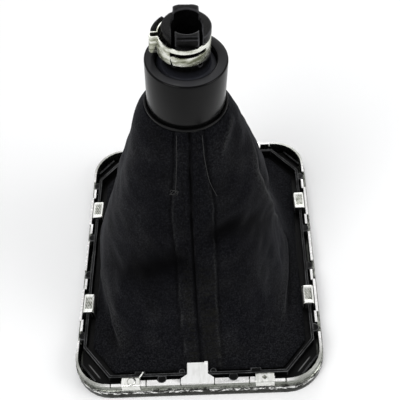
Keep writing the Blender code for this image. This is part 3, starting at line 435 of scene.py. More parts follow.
class Finish(Nodes):
    """A material whose nodes are added one by one around its main shader."""

    def __init__(self, name, **shader):
        self.material = bpy.data.materials.new(name)
        self.material.use_nodes = True
        super().__init__(self.material.node_tree)
        self.shader = self.tree.nodes["Principled BSDF"]
        self.place = self.add("ShaderNodeTexCoord").outputs["Object"]
        for socket, value in shader.items():
            self.shader.inputs[socket.replace("_", " ")].default_value = value

    def grain(self, scale, detail=3.0, roughness=0.5, stretch=None, distortion=0.0):
        """Noise in object space, as a value from 0 to 1."""
        place = self.place
        if stretch:
            place = self.add("ShaderNodeMapping", Vector=place, Scale=stretch).outputs[0]
        return self.add("ShaderNodeTexNoise", Vector=place, Scale=scale, Detail=detail,
                        Roughness=roughness, Distortion=distortion).outputs[0]

    def ramp(self, value, *stops):
        """A colour ramp; each stop is a place and a colour."""
        made = self.add("ShaderNodeValToRGB", Fac=value)
        stack = made.color_ramp.elements
        while len(stack) < len(stops):
            stack.new(0.5)
        for element, (place, colour) in zip(stack, stops):
            element.position = place
            element.color = (*colour, 1.0)
        return made.outputs[0]

    def mix(self, share, first, second):
        """A mix of two colours."""
        made = self.add("ShaderNodeMix", {"data_type": "RGBA"})
        self.join(share, made.inputs[0])
        self.join(first, made.inputs[6])
        self.join(second, made.inputs[7])
        return made.outputs[2]

    def read(self, attribute):
        """A number stored on the mesh."""
        return self.add("ShaderNodeAttribute", {"attribute_name": attribute}).outputs["Fac"]

    def bump(self, height, strength, distance, under=None):
        """A bump in millimetres, on top of another one."""
        made = self.add("ShaderNodeBump", Height=height, Strength=strength,
                        Distance=distance * MM)
        if under is not None:
            self.join(under, made.inputs["Normal"])
        return made.outputs[0]

    def edges(self, radius, start, end):
        """1 on edges, where a rounded normal turns away from the true one."""
        soft = self.add("ShaderNodeBevel", {"samples": 6}, Radius=radius * MM).outputs[0]
        true = self.add("ShaderNodeNewGeometry").outputs["Normal"]
        return self.levels(self.dot(soft, true), 1.0, 0.0, 1 - end, 1 - start)

    def rise(self):
        """Height along the knob's leaning axis, in metres."""
        up = KNOB_LEAN @ Vector((0.0, 0.0, 1.0))
        return self.sums("SUBTRACT", self.dot(self.place, up), up.dot(KNOB_PLACE))

    def painted_corner_highlight(self):
        """1 on a thin painted highlight line across each corner of the carrier."""
        x, y, height = self.axes()
        x, y = self.size(x), self.size(y)
        cos, sin = CORNER_LINE_WAY
        out = self.sums("ADD", self.times(x, cos), self.times(y, sin))
        off = self.size(self.sums("SUBTRACT", out, CORNER_LINE_REACH))
        along = self.sums("SUBTRACT", self.times(y, cos), self.times(x, sin))
        middle = self.size(self.sums("SUBTRACT", along, CORNER_LINE_MIDDLE))
        mark = self.times(self.levels(off, 1.0, 0.0, *CORNER_LINE_HALF_WIDTH),
                          self.levels(middle, 1.0, 0.0, *CORNER_LINE_HALF_LENGTH))
        return self.times(mark, self.levels(height, 1.0, 0.0, *CORNER_LINE_TOP))

    def axes(self):
        """The place split into x, y and z."""
        return self.add("ShaderNodeSeparateXYZ", Vector=self.place).outputs

    def colour(self, value):
        self.join(value, self.shader.inputs["Base Color"])

    def rough(self, value, low, high, start=0.3, end=0.7):
        """Roughness from low to high while a noise rises from start to end."""
        self.join(self.levels(value, low, high, start, end), self.shader.inputs["Roughness"])

    def finished(self, *bump):
        """The last step: links the bump and hands over the material."""
        self.join(self.bump(*bump), self.shader.inputs["Normal"])
        return self.material


def grey(value, warm=0.0):
    """A grey, a little warmer or cooler."""
    return (value * (1 + warm), value, value * (1 - warm))


def bright_plating():
    """Plating: brushed face, white rim, grey-green corners, and an outer wall with painted
    reflections: a darker grey ledge, bright glints and a dark foot.
    """
    made = Finish("bright_plating", Metallic=1.0)
    x, y, height = made.axes()
    streaks = made.grain(330.0, 4.0, 0.7, (1.0, 1.0, 3.0), 0.4)
    uneven = made.sums("ADD", height, made.levels(streaks, -0.0007, 0.0007, 0.3, 0.7))
    rim = made.ramp(made.grain(160.0), (0.35, grey(0.80, 0.01)), (0.62, grey(0.95, 0.01)))
    # Painted reflections on the outer wall: a darker grey ledge, bright glints (spots) and a dark
    # foot
    ledge = made.ramp(made.grain(240.0, 4.0, 0.6, (1.0, 1.0, 2.0)),
                      (0.35, (0.17, 0.18, 0.15)), (0.65, (0.33, 0.34, 0.31)))
    spots = made.ramp(streaks, (0.42, (0.040, 0.041, 0.037)), (0.52, (0.25, 0.25, 0.24)),
                      (0.55, (0.97, 0.97, 0.95)))
    foot = made.ramp(made.grain(200.0), (0.35, (0.022, 0.023, 0.020)),
                     (0.70, (0.060, 0.062, 0.056)))
    corner = made.times(made.levels(made.size(x), 0.0, 1.0, *BEZEL_CORNER_X),
                        made.levels(made.size(y), 0.0, 1.0, *BEZEL_CORNER_Y))
    olive = made.ramp(made.grain(120.0, 4.0, 0.6), (0.35, (0.20, 0.205, 0.18)),
                      (0.65, (0.40, 0.41, 0.37)))
    rim = made.mix(made.times(corner, 0.85), rim, olive)
    wall = made.mix(made.levels(uneven, 1.0, 0.0, *BEZEL_FOOT_TOP), spots, foot)
    lower = made.mix(made.levels(uneven, 0.0, 1.0, *BEZEL_WALL_TOP), wall, ledge)
    whole = made.mix(made.levels(height, 0.0, 1.0, *BEZEL_LEDGE_TOP), lower, rim)
    brushed = made.ramp(made.grain(260.0, 4.0, 0.6, (0.2, 1.0, 1.0)),
                        (0.35, (0.55, 0.56, 0.54)), (0.65, (0.70, 0.71, 0.69)))
    way = made.add("ShaderNodeNewGeometry").outputs["True Normal"]
    down = made.add("ShaderNodeSeparateXYZ", Vector=way).outputs[2]
    made.colour(made.mix(made.levels(down, 1.0, 0.0, -0.90, -0.80), whole, brushed))
    # Painted reflection: the rim's top is made less metallic, so its pale colour shows as a white
    # strip
    flat = made.times(made.levels(height, 0.0, 0.7, *BEZEL_RIM_TOP),
                      made.levels(corner, 1.0, 0.0))
    made.join(made.sums("SUBTRACT", 1.0, flat), made.shader.inputs["Metallic"])
    made.rough(made.grain(700.0, 4.0), 0.16, 0.34)
    return made.finished(made.grain(380.0, 4.0), 0.22, 0.06)


def spring_steel():
    """Bright spring steel with fine scratches and grey worn patches."""
    made = Finish("spring_steel", Metallic=1.0)
    scratches = made.grain(900.0, 4.0, 0.6, (1.0, 0.16, 1.0))
    base = made.ramp(scratches, (0.32, (0.74, 0.75, 0.70)), (0.62, (0.96, 0.96, 0.93)))
    worn = made.ramp(made.grain(1100.0, 3.0, 0.7), (0.38, (0.07, 0.074, 0.058)),
                     (0.60, (0.27, 0.28, 0.235)), (0.68, (0.85, 0.85, 0.80)))
    wear = made.times(made.read("worn"), made.levels(made.grain(700.0), 0.75, 1.3, 0.3, 0.6))
    made.colour(made.mix(wear, base, worn))
    made.rough(scratches, 0.24, 0.42)
    return made.finished(made.grain(1100.0, 3.0, 0.5, (1.0, 0.3, 1.0)), 0.4, 0.05)


def tongue_steel():
    """The latch's steel as a pale non-metal with dull scratches; its near-white colour is a
    painted reflection.
    """
    made = Finish("tongue_steel", Specular_IOR_Level=0.4)
    scratches = made.grain(500.0, 4.0, 0.6, (1.0, 0.2, 1.0))
    # Painted reflection: a near-white colour in place of the steel's mirror of the white room
    made.colour(made.ramp(scratches, (0.32, (0.80, 0.80, 0.78)), (0.50, (0.93, 0.93, 0.92))))
    made.rough(scratches, 0.35, 0.50)
    return made.finished(made.grain(700.0), 0.2, 0.04)


def clamp_steel():
    """The clamp's warmer steel with patches of painted olive shade, darker low on the clamp and
    lighter near its top.
    """
    made = Finish("clamp_steel", Metallic=1.0)
    olive_shade = made.grain(170.0, 3.0, 0.5, (1.0, 1.0, 2.4))
    # Painted shade: the olive tones are darker low on the clamp and lighter near its top
    olive_shade = made.sums("ADD", olive_shade, made.levels(made.rise(), -0.05, 0.08, *CLAMP_SHADE_RISE))
    made.colour(made.ramp(olive_shade, (0.35, (0.14, 0.15, 0.095)), (0.47, (0.40, 0.41, 0.33)),
                          (0.60, (0.82, 0.83, 0.76))))
    made.rough(made.grain(900.0), 0.22, 0.36)
    return made.finished(made.grain(420.0, 2.0), 0.25, 0.06)


def carrier_plastic():
    """Black moulded plastic with painted grey highlights along the edges that stand up and a
    painted highlight line across each corner.
    """
    made = Finish("carrier_plastic", Specular_IOR_Level=0.10)
    height = made.axes()[2]
    tone = made.ramp(made.grain(300.0, 4.0, 0.6), (0.35, grey(0.0016)), (0.70, grey(0.0042)))
    patchy_highlight = made.levels(made.grain(90.0, 4.0, 0.7), 0.25, 1.0, 0.40, 0.58)
    # Painted highlight: this worn mask is grey light on the raised edges above the floor, broken
    # into patches
    worn = made.times(made.edges(0.85, 0.006, 0.05), patchy_highlight)
    worn = made.times(worn, made.levels(height, 0.0, 1.0, *CARRIER_HIGHLIGHT_FROM))
    tone = made.mix(worn, tone, (0.130, 0.132, 0.136, 1.0))
    # Painted highlight line across each corner
    made.colour(made.mix(made.painted_corner_highlight(), tone, (0.20, 0.20, 0.20, 1.0)))
    made.rough(made.grain(750.0), 0.32, 0.50)
    return made.finished(made.grain(1500.0, 2.0), 0.5, 0.04)


def core_plastic():
    """Near-black plastic with painted light on the flange in the recess and painted highlights on
    its moulded edges.
    """
    made = Finish("core_plastic", Specular_IOR_Level=0.07)
    sharp = made.add("ShaderNodeNewGeometry").outputs["Pointiness"]
    tone = made.ramp(made.grain(260.0, 4.0, 0.6), (0.35, grey(0.0010)), (0.70, grey(0.0030)))
    # Painted highlights on the sharp moulded edges, weaker on the left side
    lit = made.times(made.levels(sharp, 0.0, 1.0, 0.507, 0.535),
                     made.levels(made.grain(140.0), 0.35, 1.0, 0.38, 0.60))
    lit = made.times(lit, made.levels(made.axes()[0], 0.15, 1.0, *CORE_LEFT_SIDE))
    # Painted light: the flange low in the recess is paler and bluish
    tone = made.mix(made.levels(made.rise(), 1.0, 0.0, *CORE_FLANGE_TOP), tone,
                    (0.0240, 0.0250, 0.0320, 1.0))
    made.colour(made.mix(lit, tone, (0.060, 0.060, 0.064, 1.0)))
    made.rough(made.grain(700.0), 0.24, 0.40)
    return made.finished(made.grain(1500.0, 2.0), 0.5, 0.04)


def satin_plastic():
    """Smooth black plastic with a painted dark reflection on its outer edge and a painted
    highlight band inside it, brightest at the front.
    """
    made = Finish("satin_plastic", Specular_IOR_Level=0.07, Coat_Weight=0.10,
                  Coat_Roughness=0.10)
    reach, rise = made.read("reach"), made.read("rise")
    tone = made.ramp(made.grain(45.0, 4.0, 0.6, (1.0, 1.0, 0.35)), (0.35, grey(0.0014)),
                     (0.70, grey(0.0042)))
    # Painted highlight: a lighter band on the end, strongest at the front
    top = made.levels(rise, 0.0, 1.0, *COLLAR_END_RISE)
    front = made.levels(made.axes()[1], 1.0, 0.15, *COLLAR_FRONT)
    band = made.times(made.levels(reach, 0.0, 1.0, *COLLAR_BAND_REACH), front)
    tone = made.mix(made.times(made.times(top, band), 0.8), tone, (0.055, 0.055, 0.060, 1.0))
    # Painted dark reflection on the rounded outer edge
    edge = made.times(made.levels(rise, 0.0, 1.0, *COLLAR_EDGE_RISE),
                      made.levels(reach, 0.0, 1.0, *COLLAR_EDGE_REACH))
    made.colour(made.mix(edge, tone, (0.0006, 0.0006, 0.0008, 1.0)))
    made.rough(made.grain(900.0), 0.19, 0.26)
    return made.finished(made.grain(1800.0, 2.0), 0.5, 0.03)


def gaiter_fleece():
    """The brushed backing of the gaiter: short matted pile, flecks, dust with painted light,
    painted shade and worn strips.

    Its marks are stored on the mesh: rubbed is dust with painted light and highlights, shade is
    painted shade, olive is the strips.
    """
    made = Finish("gaiter_fleece", Roughness=0.95, Sheen_Weight=0.10, Sheen_Roughness=0.40,
                  Specular_IOR_Level=0.04)
    made.shader.inputs["Sheen Tint"].default_value = (0.62, 0.63, 0.68, 1.0)
    pile = made.grain(1250.0, 4.0, 0.75)
    matted = made.grain(430.0, 4.0, 0.65, distortion=0.6)
    base = made.ramp(pile, (0.37, (0.0004, 0.0005, 0.0009)), (0.50, (0.0034, 0.0036, 0.0052)),
                     (0.64, (0.0210, 0.0216, 0.0250)))
    soft = made.ramp(matted, (0.30, (0.0010, 0.0011, 0.0016)), (0.75, (0.0085, 0.0088, 0.0105)))
    tone = made.mix(0.30, base, soft)
    strips = made.grain(300.0, 4.0, 0.7, (0.5, 1.0, 2.0))
    olive = made.times(made.read("olive"), made.levels(strips, 0.0, 1.0, 0.42, 0.62))
    cloudy = made.sums("ADD", olive, made.levels(made.grain(55.0), 0.0, 0.20, 0.50, 0.75))
    tone = made.mix(cloudy, tone, (0.0095, 0.0092, 0.0066, 1.0))
    # Dust and painted light on crests, folds, the low cloth and the side facing left
    dust = made.times(made.read("rubbed"), made.levels(pile, 0.1, 1.0, 0.38, 0.60))
    tone = made.mix(dust, tone, (0.085, 0.086, 0.086, 1.0))
    # Painted shade in the seam, creases and hollows and on the upper cloth
    made.colour(made.mix(made.read("shade"), tone, (0.0005, 0.0005, 0.0007, 1.0)))
    return made.finished(pile, 0.75, 0.26, made.bump(matted, 0.5, 0.35))


def sewing_thread(name, low, high):
    """Polyester thread with a twist."""
    made = Finish(name, Roughness=0.70, Specular_IOR_Level=0.1)
    made.colour(made.ramp(made.grain(4000.0, 2.0), (0.35, grey(low)), (0.65, grey(high))))
    return made.finished(made.grain(5000.0, 2.0), 0.5, 0.05)


def grained_leather():
    """Black leather with a small pebbled grain."""
    made = Finish("grained_leather")
    cells = made.add("ShaderNodeTexVoronoi", {"feature": "DISTANCE_TO_EDGE"}, Vector=made.place,
                     Scale=900.0).outputs[0]
    made.colour(made.ramp(made.grain(120.0), (0.35, grey(0.012)), (0.7, grey(0.026))))
    made.rough(cells, 0.62, 0.42, 0.0, 0.25)
    return made.finished(made.levels(cells, 0.0, 1.0, 0.0, 0.16), 0.45, 0.10)


def gloss_black():
    """Polished black plastic with faint handling haze."""
    made = Finish("gloss_black")
    made.colour(made.ramp(made.grain(60.0), (0.3, grey(0.008)), (0.7, grey(0.014))))
    made.rough(made.grain(160.0, 4.0, 0.6), 0.06, 0.16, 0.35, 0.65)
    return made.finished(made.grain(300.0, 2.0), 0.15, 0.02)


# Gaiter

def smooth_rows(rows, steps):
    """A smooth curve through rows of numbers, with equal steps between each pair."""
    table = np.array([rows[0], *rows, rows[-1]], float)
    out = []
    for a, b, c, d in zip(table, table[1:], table[2:], table[3:]):
        for part in range(steps):
            t = part / steps
            out.append(0.5 * (2 * b + (c - a) * t + (2 * a - 5 * b + 4 * c - d) * t * t
                              + (3 * b - a - 3 * c + d) * t ** 3))
    out.append(table[-1])
    return np.array(out)


def smooth_line(line, steps):
    """A smooth curve in metres through places in millimetres."""
    return smooth_rows(np.array(line) * MM, steps)


def hem_reach(angles):
    """Distance from the middle to the octagonal hem along each angle."""
    x, y = np.abs(np.cos(angles)), np.abs(np.sin(angles))
    side_x, side_y = HEM_CORNER
    reach = np.minimum(HEM_HALF_WIDTH / np.maximum(x, 1e-9), HEM_HALF_LENGTH / np.maximum(y, 1e-9))
    a, b = side_y, side_x
    c = a * (HEM_HALF_WIDTH - side_x) + b * HEM_HALF_LENGTH
    return np.minimum(reach, c / (a * x + b * y))


def gaiter_grid(around, up):
    """Points of the plain gaiter, from the hem to the neck, as rows of rings."""
    rows = smooth_rows(GAITER_LEVELS, 12)
    shares = np.linspace(0.0, 1.0, up) ** 0.92
    levels = np.array([np.interp(shares, rows[:, 0], rows[:, k]) for k in range(6)]).T
    angles = np.arange(around) * 2 * math.pi / around
    cos, sin = np.cos(angles), np.sin(angles)
    reach = hem_reach(angles)
    flat = np.stack((cos * reach / HEM_HALF_WIDTH, sin * reach / HEM_HALF_LENGTH), 1)
    circle = np.stack((cos, sin), 1)
    side, end = (step(turn, -SIDE_BLEND, SIDE_BLEND) for turn in (cos, sin))
    lean = np.array(KNOB_LEAN)
    neck = np.array(KNOB_PLACE - KNOB_LEAN @ Vector((0, 0, 0.0003)))
    grid = np.zeros((up, around, 3))
    for k, (share, left, right, front, back, roundness) in enumerate(levels):
        unit = flat * (1 - roundness) + circle * roundness
        x = unit[:, 0] * (NECK_RADIUS + (left + (right - left) * side)
                          * (HEM_HALF_WIDTH - NECK_RADIUS))
        y = unit[:, 1] * (NECK_RADIUS + (front + (back - front) * end)
                          * (HEM_HALF_LENGTH - NECK_RADIUS))
        level = np.stack((x, y, np.zeros(around)), 1)
        blend = share ** 3
        middle = np.array((0.0, 0.0, HEM_HEIGHT)) * (1 - share) + neck * share
        grid[k] = middle + level * (1 - blend) + (level @ lean.T) * blend
    return grid


def grid_normals(grid):
    """Outward normals of a grid that closes round."""
    along = np.gradient(grid, axis=0)
    across = np.roll(grid, -1, 1) - np.roll(grid, 1, 1)
    normal = np.cross(across, along)
    return normal / np.maximum(np.linalg.norm(normal, axis=2, keepdims=True), 1e-12)


def beside(points, normals, line):
    """Millimetres from a line on the cloth, positive on its left, and the share along it."""
    line = smooth_line(line, 6)
    best = np.full(points.shape[:-1], 1e9)
    side = np.zeros_like(best)
    share = np.zeros_like(best)
    lengths = np.linalg.norm(np.diff(line, axis=0), axis=1)
    total, passed = lengths.sum(), 0.0
    for start, stop, length in zip(line, line[1:], lengths):
        edge = (stop - start) / length
        along = np.clip((points - start) @ edge, 0.0, length)
        offset = points - (start + along[..., None] * edge)
        distance = np.linalg.norm(offset, axis=-1)
        sign = np.sign(np.einsum("...k,...k", np.cross(normals, edge), offset))
        nearer = distance < best
        best = np.where(nearer, distance, best)
        side = np.where(nearer, sign, side)
        share = np.where(nearer, (passed + along) / total, share)
        passed += length
    return best * side / MM, share


def bell(value, width):
    """A soft hump one high."""
    return np.exp(-(value / width) ** 2)


def step(value, low, high):
    """A smooth step from 0 at low to 1 at high."""
    t = np.clip((value - low) / (high - low), 0.0, 1.0)
    return t * t * (3 - 2 * t)


def waves(points, size, seed):
    """Soft uneven waves through space, about one high."""
    draws = np.random.default_rng(seed)
    total = np.zeros(points.shape[:-1])
    for _ in range(9):
        way = draws.normal(size=3)
        way *= 2 * math.pi / (size * draws.uniform(0.7, 1.6) * np.linalg.norm(way))
        total += np.sin(points @ way + draws.uniform(0, 6.28))
    return total / 3.0


def seam_widths(share):
    """Width in millimetres of the front seam's allowance on its left and on its right."""
    places = (0.0, 0.12, 0.30, 0.55, 1.0)
    return (np.interp(share, places, (6.2, 6.6, 9.4, 8.4, 8.2)),
            np.interp(share, places, (6.0, 7.0, 10.8, 10.6, 10.0)))


class Relief:
    """How far the cloth stands out in millimetres, and its dust with painted light, its painted
    shade and its olive strips.
    """

    def __init__(self, points, normals):
        self.points, self.normals = points, normals
        self.height = points[..., 2] / MM
        self.above_hem = step(self.height, 6.0, 20.0)
        self.out, self.rubbed, self.shade, self.olive = (
            np.zeros(points.shape[:-1]) for _ in range(4))

    def beside(self, line):
        return beside(self.points, self.normals, line)

    def loose_waves(self):
        """The uneven waves of loose cloth with dust and painted light on their crests, and painted
        light on the low cloth near the hem.
        """
        free = self.above_hem * (1 - step(self.height, 118.0, 128.0))
        self.out += free * (0.55 * waves(self.points, 0.030, 3)
                            + 0.22 * waves(self.points, 0.011, 8))
        self.rubbed += 0.08 * free * np.clip(waves(self.points, 0.020, 5), 0, 1)
        # Painted light on the low cloth near the hem, which lies in shade
        self.rubbed += 0.05 * (1 - step(self.height, 10.0, 22.0))

    def front_seam(self):
        """The seam's groove with painted shade, its turned-back edges lighter along their rims
        with painted shade just past them, and the worn strips on their lower half.
        """
        across, share = self.beside(FRONT_SEAM)
        far = np.abs(across)
        limit = np.where(across < 0, *seam_widths(share))
        end = step(self.height, 5.0, 10.0)
        flap = end * (1 - step(far, limit - 0.35, limit + 0.35))
        flap *= 0.4 + 0.6 * step(share, 0.18, 0.36)
        self.out += flap * (0.55 + 0.10 * np.sin(share * 55.0 + across * 0.9))
        self.out -= end * 1.35 * bell(across, 0.75)
        self.out += flap * 0.30 * bell(far - 1.3, 0.7)
        self.out -= end * 0.35 * bell(far - STITCH_OFFSET, 0.35) * step(share, 0.0, 0.2)
        self.out -= end * 0.35 * bell(far - limit - 0.6, 0.5)
        # Lighter along the turned-back edges; painted shade in the groove and just past each edge
        self.rubbed += flap * 0.30 * bell(far - limit + 0.5, 0.4)
        self.shade += end * (0.85 * bell(across, 0.9) + 0.45 * bell(far - limit - 0.8, 0.8))
        strips = (step(across, 1.2, 2.5) * (1 - step(across, 9.5, 11.5))
                  + step(-across, 1.0, 2.0) * (1 - step(-across, 5.5, 7.0)))
        self.olive += 0.55 * step(share, 0.45, 0.62) * end * strips

    def right_ridge(self):
        """The long fold on the right, with a painted highlight along its crest and painted shade
        in the hollow beside it.
        """
        across, share = self.beside(RIGHT_RIDGE)
        fade = step(share, 0.0, 0.18) * (1 - step(share, 0.86, 1.0))
        self.out += fade * (1.9 * bell(across, 3.0) - 1.8 * bell(across - 6.0, 4.5))
        self.rubbed += fade * (0.80 * bell(across, 0.9) + 0.30 * bell(across + 1.0, 2.6))
        self.shade += fade * 0.45 * bell(across - 6.0, 4.0)

    def neck_fold(self):
        """The short fold below the collar on the right, with a painted highlight along it."""
        across, share = self.beside(NECK_FOLD)
        fade = step(share, 0.0, 0.2) * (1 - step(share, 0.7, 1.0))
        self.out += fade * 0.9 * bell(across, 2.2)
        self.rubbed += fade * 0.35 * bell(across, 1.2)

    def hollow(self, line, depth, width):
        """A broad dent along a line, darkened with painted shade."""
        across, _ = self.beside(line)
        self.out -= depth * bell(across, width)
        self.shade += 0.72 * bell(across, width * 0.85)

    def crease(self, line, inward, depth):
        """A sharp crease near the hem with painted shade in it, and its raised lip on the inward
        side with a painted highlight.
        """
        across, share = self.beside(line)
        fade = step(share, 0.0, 0.12) * (1 - step(share, 0.70, 1.0))
        self.out -= fade * depth * bell(across, 2.4)
        self.out += fade * 0.9 * bell(across - inward * 4.5, 2.2)
        self.rubbed += fade * (0.50 * bell(across - inward * 3.0, 0.9)
                               + 0.16 * bell(across - inward * 7.0, 4.0))
        self.shade += fade * 0.75 * bell(across, 1.1)

    def sides(self):
        """Painted shade on the upper cloth except where it faces left, and painted light on the
        cloth that faces left.
        """
        to_right = self.normals[..., 0]
        self.shade += 0.30 * step(self.height, 28.0, 48.0) * step(to_right, -0.80, -0.40)
        self.rubbed += 0.14 * self.above_hem * (1 - step(to_right, -0.97, -0.72))

    def ripples(self):
        """Fine level ripples in one patch to the left of the seam."""
        away = np.linalg.norm(self.points / MM - np.array(RIPPLE_PLACE), axis=-1)
        ripple = np.sin(self.height * 3.3 + 2.0 * waves(self.points, 0.006, 21))
        self.out += 0.22 * bell(away, 13.0) * ripple


def gaiter_relief(points, normals):
    """How far the cloth stands out from its plain shape in metres, and its marks from 0 to 1."""
    cloth = Relief(points, normals)
    cloth.loose_waves()
    cloth.front_seam()
    cloth.right_ridge()
    cloth.neck_fold()
    cloth.hollow(RIGHT_HOLLOW, 2.0, 7.5)
    cloth.hollow(LEFT_HOLLOW, 2.3, 8.5)
    cloth.crease(LEFT_CREASE, 1.0, 2.6)
    cloth.crease(RIGHT_CREASE, -1.0, 1.7)
    cloth.sides()
    cloth.ripples()
    marks = {"rubbed": cloth.rubbed, "shade": cloth.shade, "olive": cloth.olive}
    return cloth.out * MM, {name: np.clip(mark, 0, 1) for name, mark in marks.items()}


def gaiter_shell():
    """The gaiter's cloth with its seam, folds and hollows, and its plain shape for look-ups."""
    around, up = GAITER_COLUMNS, GAITER_ROWS
    grid = gaiter_grid(around, up)
    normals = grid_normals(grid)
    corners = [Vector(place) for place in grid.reshape(-1, 3)]
    faces = [(k * around + s, k * around + (s + 1) % around, (k + 1) * around + (s + 1) % around,
              (k + 1) * around + s) for k in range(up - 1) for s in range(around)]
    plain = BVHTree.FromPolygons(corners, faces)
    out, marks = gaiter_relief(grid, normals)
    places = (grid + normals * out[..., None]).reshape(-1, 3)
    shape = bmesh.new()
    layers = [(shape.verts.layers.float.new(name), mark.ravel())
              for name, mark in marks.items()]
    verts = []
    for i, place in enumerate(places):
        corner = shape.verts.new(place)
        for layer, mark in layers:
            corner[layer] = mark[i]
        verts.append(corner)
    for face in faces:
        shape.faces.new([verts[i] for i in face])
    return show("gaiter_cloth", mesh_of("gaiter_cloth", shape, 60.0)), plain


def gaiter_piece(material):
    """Finishes the gaiter; returns its plain and its shaped surface, for laying threads."""
    piece, plain = gaiter_shell()
    surface = BVHTree.FromObject(piece, bpy.context.evaluated_depsgraph_get())
    thicken(piece, GAITER_THICKNESS, -1.0)
    keep(piece, material, "gaiter_lining", "gaiter")
    return plain, surface


def on_cloth(plain, surface, point, lift, aside=None, distance=0.0):
    """A place a little above the cloth, found through its plain shape so it runs straight."""
    place, normal, _, _ = plain.find_nearest(Vector(point))
    if aside is not None:
        place = place + normal.cross(aside).normalized() * distance * MM
        place, normal, _, _ = plain.find_nearest(place)
    hit = surface.ray_cast(place + normal * 6 * MM, -normal)[0]
    return (hit or place) + normal * lift * MM


def tangle(end):
    """Loops of thread in a small knot just past a point, in millimetres."""
    loops = []
    for i in range(1, KNOT_POINTS + 1):
        a = i * KNOT_ANGLE
        way = (math.cos(a), math.sin(a), math.sin(1.3 * a))
        x, y, z = (c + m + r * w for c, m, r, w in zip(end, KNOT_MIDDLE, KNOT_REACH, way))
        loops.append((x + 0.5 * math.cos(2.7 * a), y, z))
    return tuple(loops)


def drawn(name, places):
    """A curve through a line of places."""
    curve = bpy.data.curves.new(name, "CURVE")
    curve.dimensions = "3D"
    spline = curve.splines.new("POLY")
    spline.points.add(len(places) - 1)
    for point, place in zip(spline.points, places):
        point.co = (*place, 1.0)
    return show(name + "_line", curve)


def thread_line(name, line, cloth, lift):
    """A loose thread that follows a line laid on the cloth."""
    places = [on_cloth(*cloth, point, lift + TAIL_WAVER * math.sin(i * 0.9))
              for i, point in enumerate(smooth_line(line, 8))]
    holder = drawn(name, places)
    holder.data.bevel_depth = TAIL_RADIUS * MM
    holder.data.bevel_resolution = 2
    holder.data.use_fill_caps = True
    return show(name, settled(holder))


# Stitches

def stitch_tree(material):
    """Geometry nodes that sew stitches along a curve, and the sockets that take their sizes."""
    tree = bpy.data.node_groups.new("stitch_row", "GeometryNodeTree")
    socket = tree.interface.new_socket
    for way in ("INPUT", "OUTPUT"):
        socket("Geometry", in_out=way, socket_type="NodeSocketGeometry")
    sizes = {name: socket(name, in_out="INPUT", socket_type="NodeSocketFloat").identifier
             for name in STITCH_SIZES}
    sew = Nodes(tree)
    given = sew.add("NodeGroupInput").outputs
    spots = sew.add("GeometryNodeCurveToPoints", {"mode": "LENGTH"}, Curve=given["Geometry"],
                    Length=given["Stitch Spacing"]).outputs
    bead = sew.add("GeometryNodeMeshUVSphere", Segments=8, Rings=6, Radius=1.0)
    size = sew.add("ShaderNodeCombineXYZ", X=given["Thread Radius"], Y=given["Thread Radius"],
                   Z=sew.times(given["Stitch Length"], 0.5))
    row = sew.add("GeometryNodeInstanceOnPoints", Points=spots["Points"],
                  Rotation=spots["Rotation"], Instance=bead.outputs["Mesh"],
                  Scale=size.outputs[0])
    real = sew.add("GeometryNodeRealizeInstances", Geometry=row.outputs[0])
    paint = sew.add("GeometryNodeSetMaterial", Geometry=real.outputs[0], Material=material)
    sew.add("NodeGroupOutput", Geometry=paint.outputs[0])
    return tree, sizes


def stitch_row(name, places, tree, sockets, material):
    """One row of stitches along a line of places, as a plain mesh."""
    holder = drawn(name, places)
    sew = holder.modifiers.new("sew", "NODES")
    sew.node_group = tree
    for size, value in STITCH_SIZES.items():
        sew[sockets[size]] = value * MM
    keep(show(name, settled(holder)), material, "gaiter_lining")


def seam_offset(cloth, distance):
    """Places on the cloth at a distance in millimetres beside the front seam."""
    line = smooth_line(FRONT_SEAM, 10)
    first, last = (int(share * len(line)) for share in STITCH_RUN)
    places = []
    for i in range(first, last):
        before, after = line[max(i - 3, 0)], line[min(i + 3, len(line) - 1)]
        way = Vector(after - before).normalized()
        places.append(on_cloth(*cloth, line[i], STITCH_LIFT, way, distance))
    return places


def sew_seam(cloth, material):
    """The stitches that hold the seam's two turned-back edges."""
    tree, sockets = stitch_tree(material)
    for name, side in (("seam_stitches_left", -1), ("seam_stitches_right", 1)):
        stitch_row(name, seam_offset(cloth, side * STITCH_OFFSET), tree, sockets, material)


# Clips

def clip_path(reach):
    """A clip's section as x and z: up one leg, over the top and down the other."""
    half, skin = (reach - CLIP_SHEET) / 2, CLIP_SHEET / 2
    path = [(-half, skin - CLIP_LEG + (CLIP_LEG - CLIP_BEND) * i / 6) for i in range(7)]
    for i in range(1, 8):
        a = math.pi / 2 * i / 8
        path.append((-half + CLIP_BEND * (1 - math.cos(a)), -skin - CLIP_BEND * (1 - math.sin(a))))
    side = list(path)
    path += [(-half + CLIP_BEND + (half - CLIP_BEND) * 2 * i / 26, -skin) for i in range(27)]
    return path + [(-x, z) for x, z in reversed(side)]


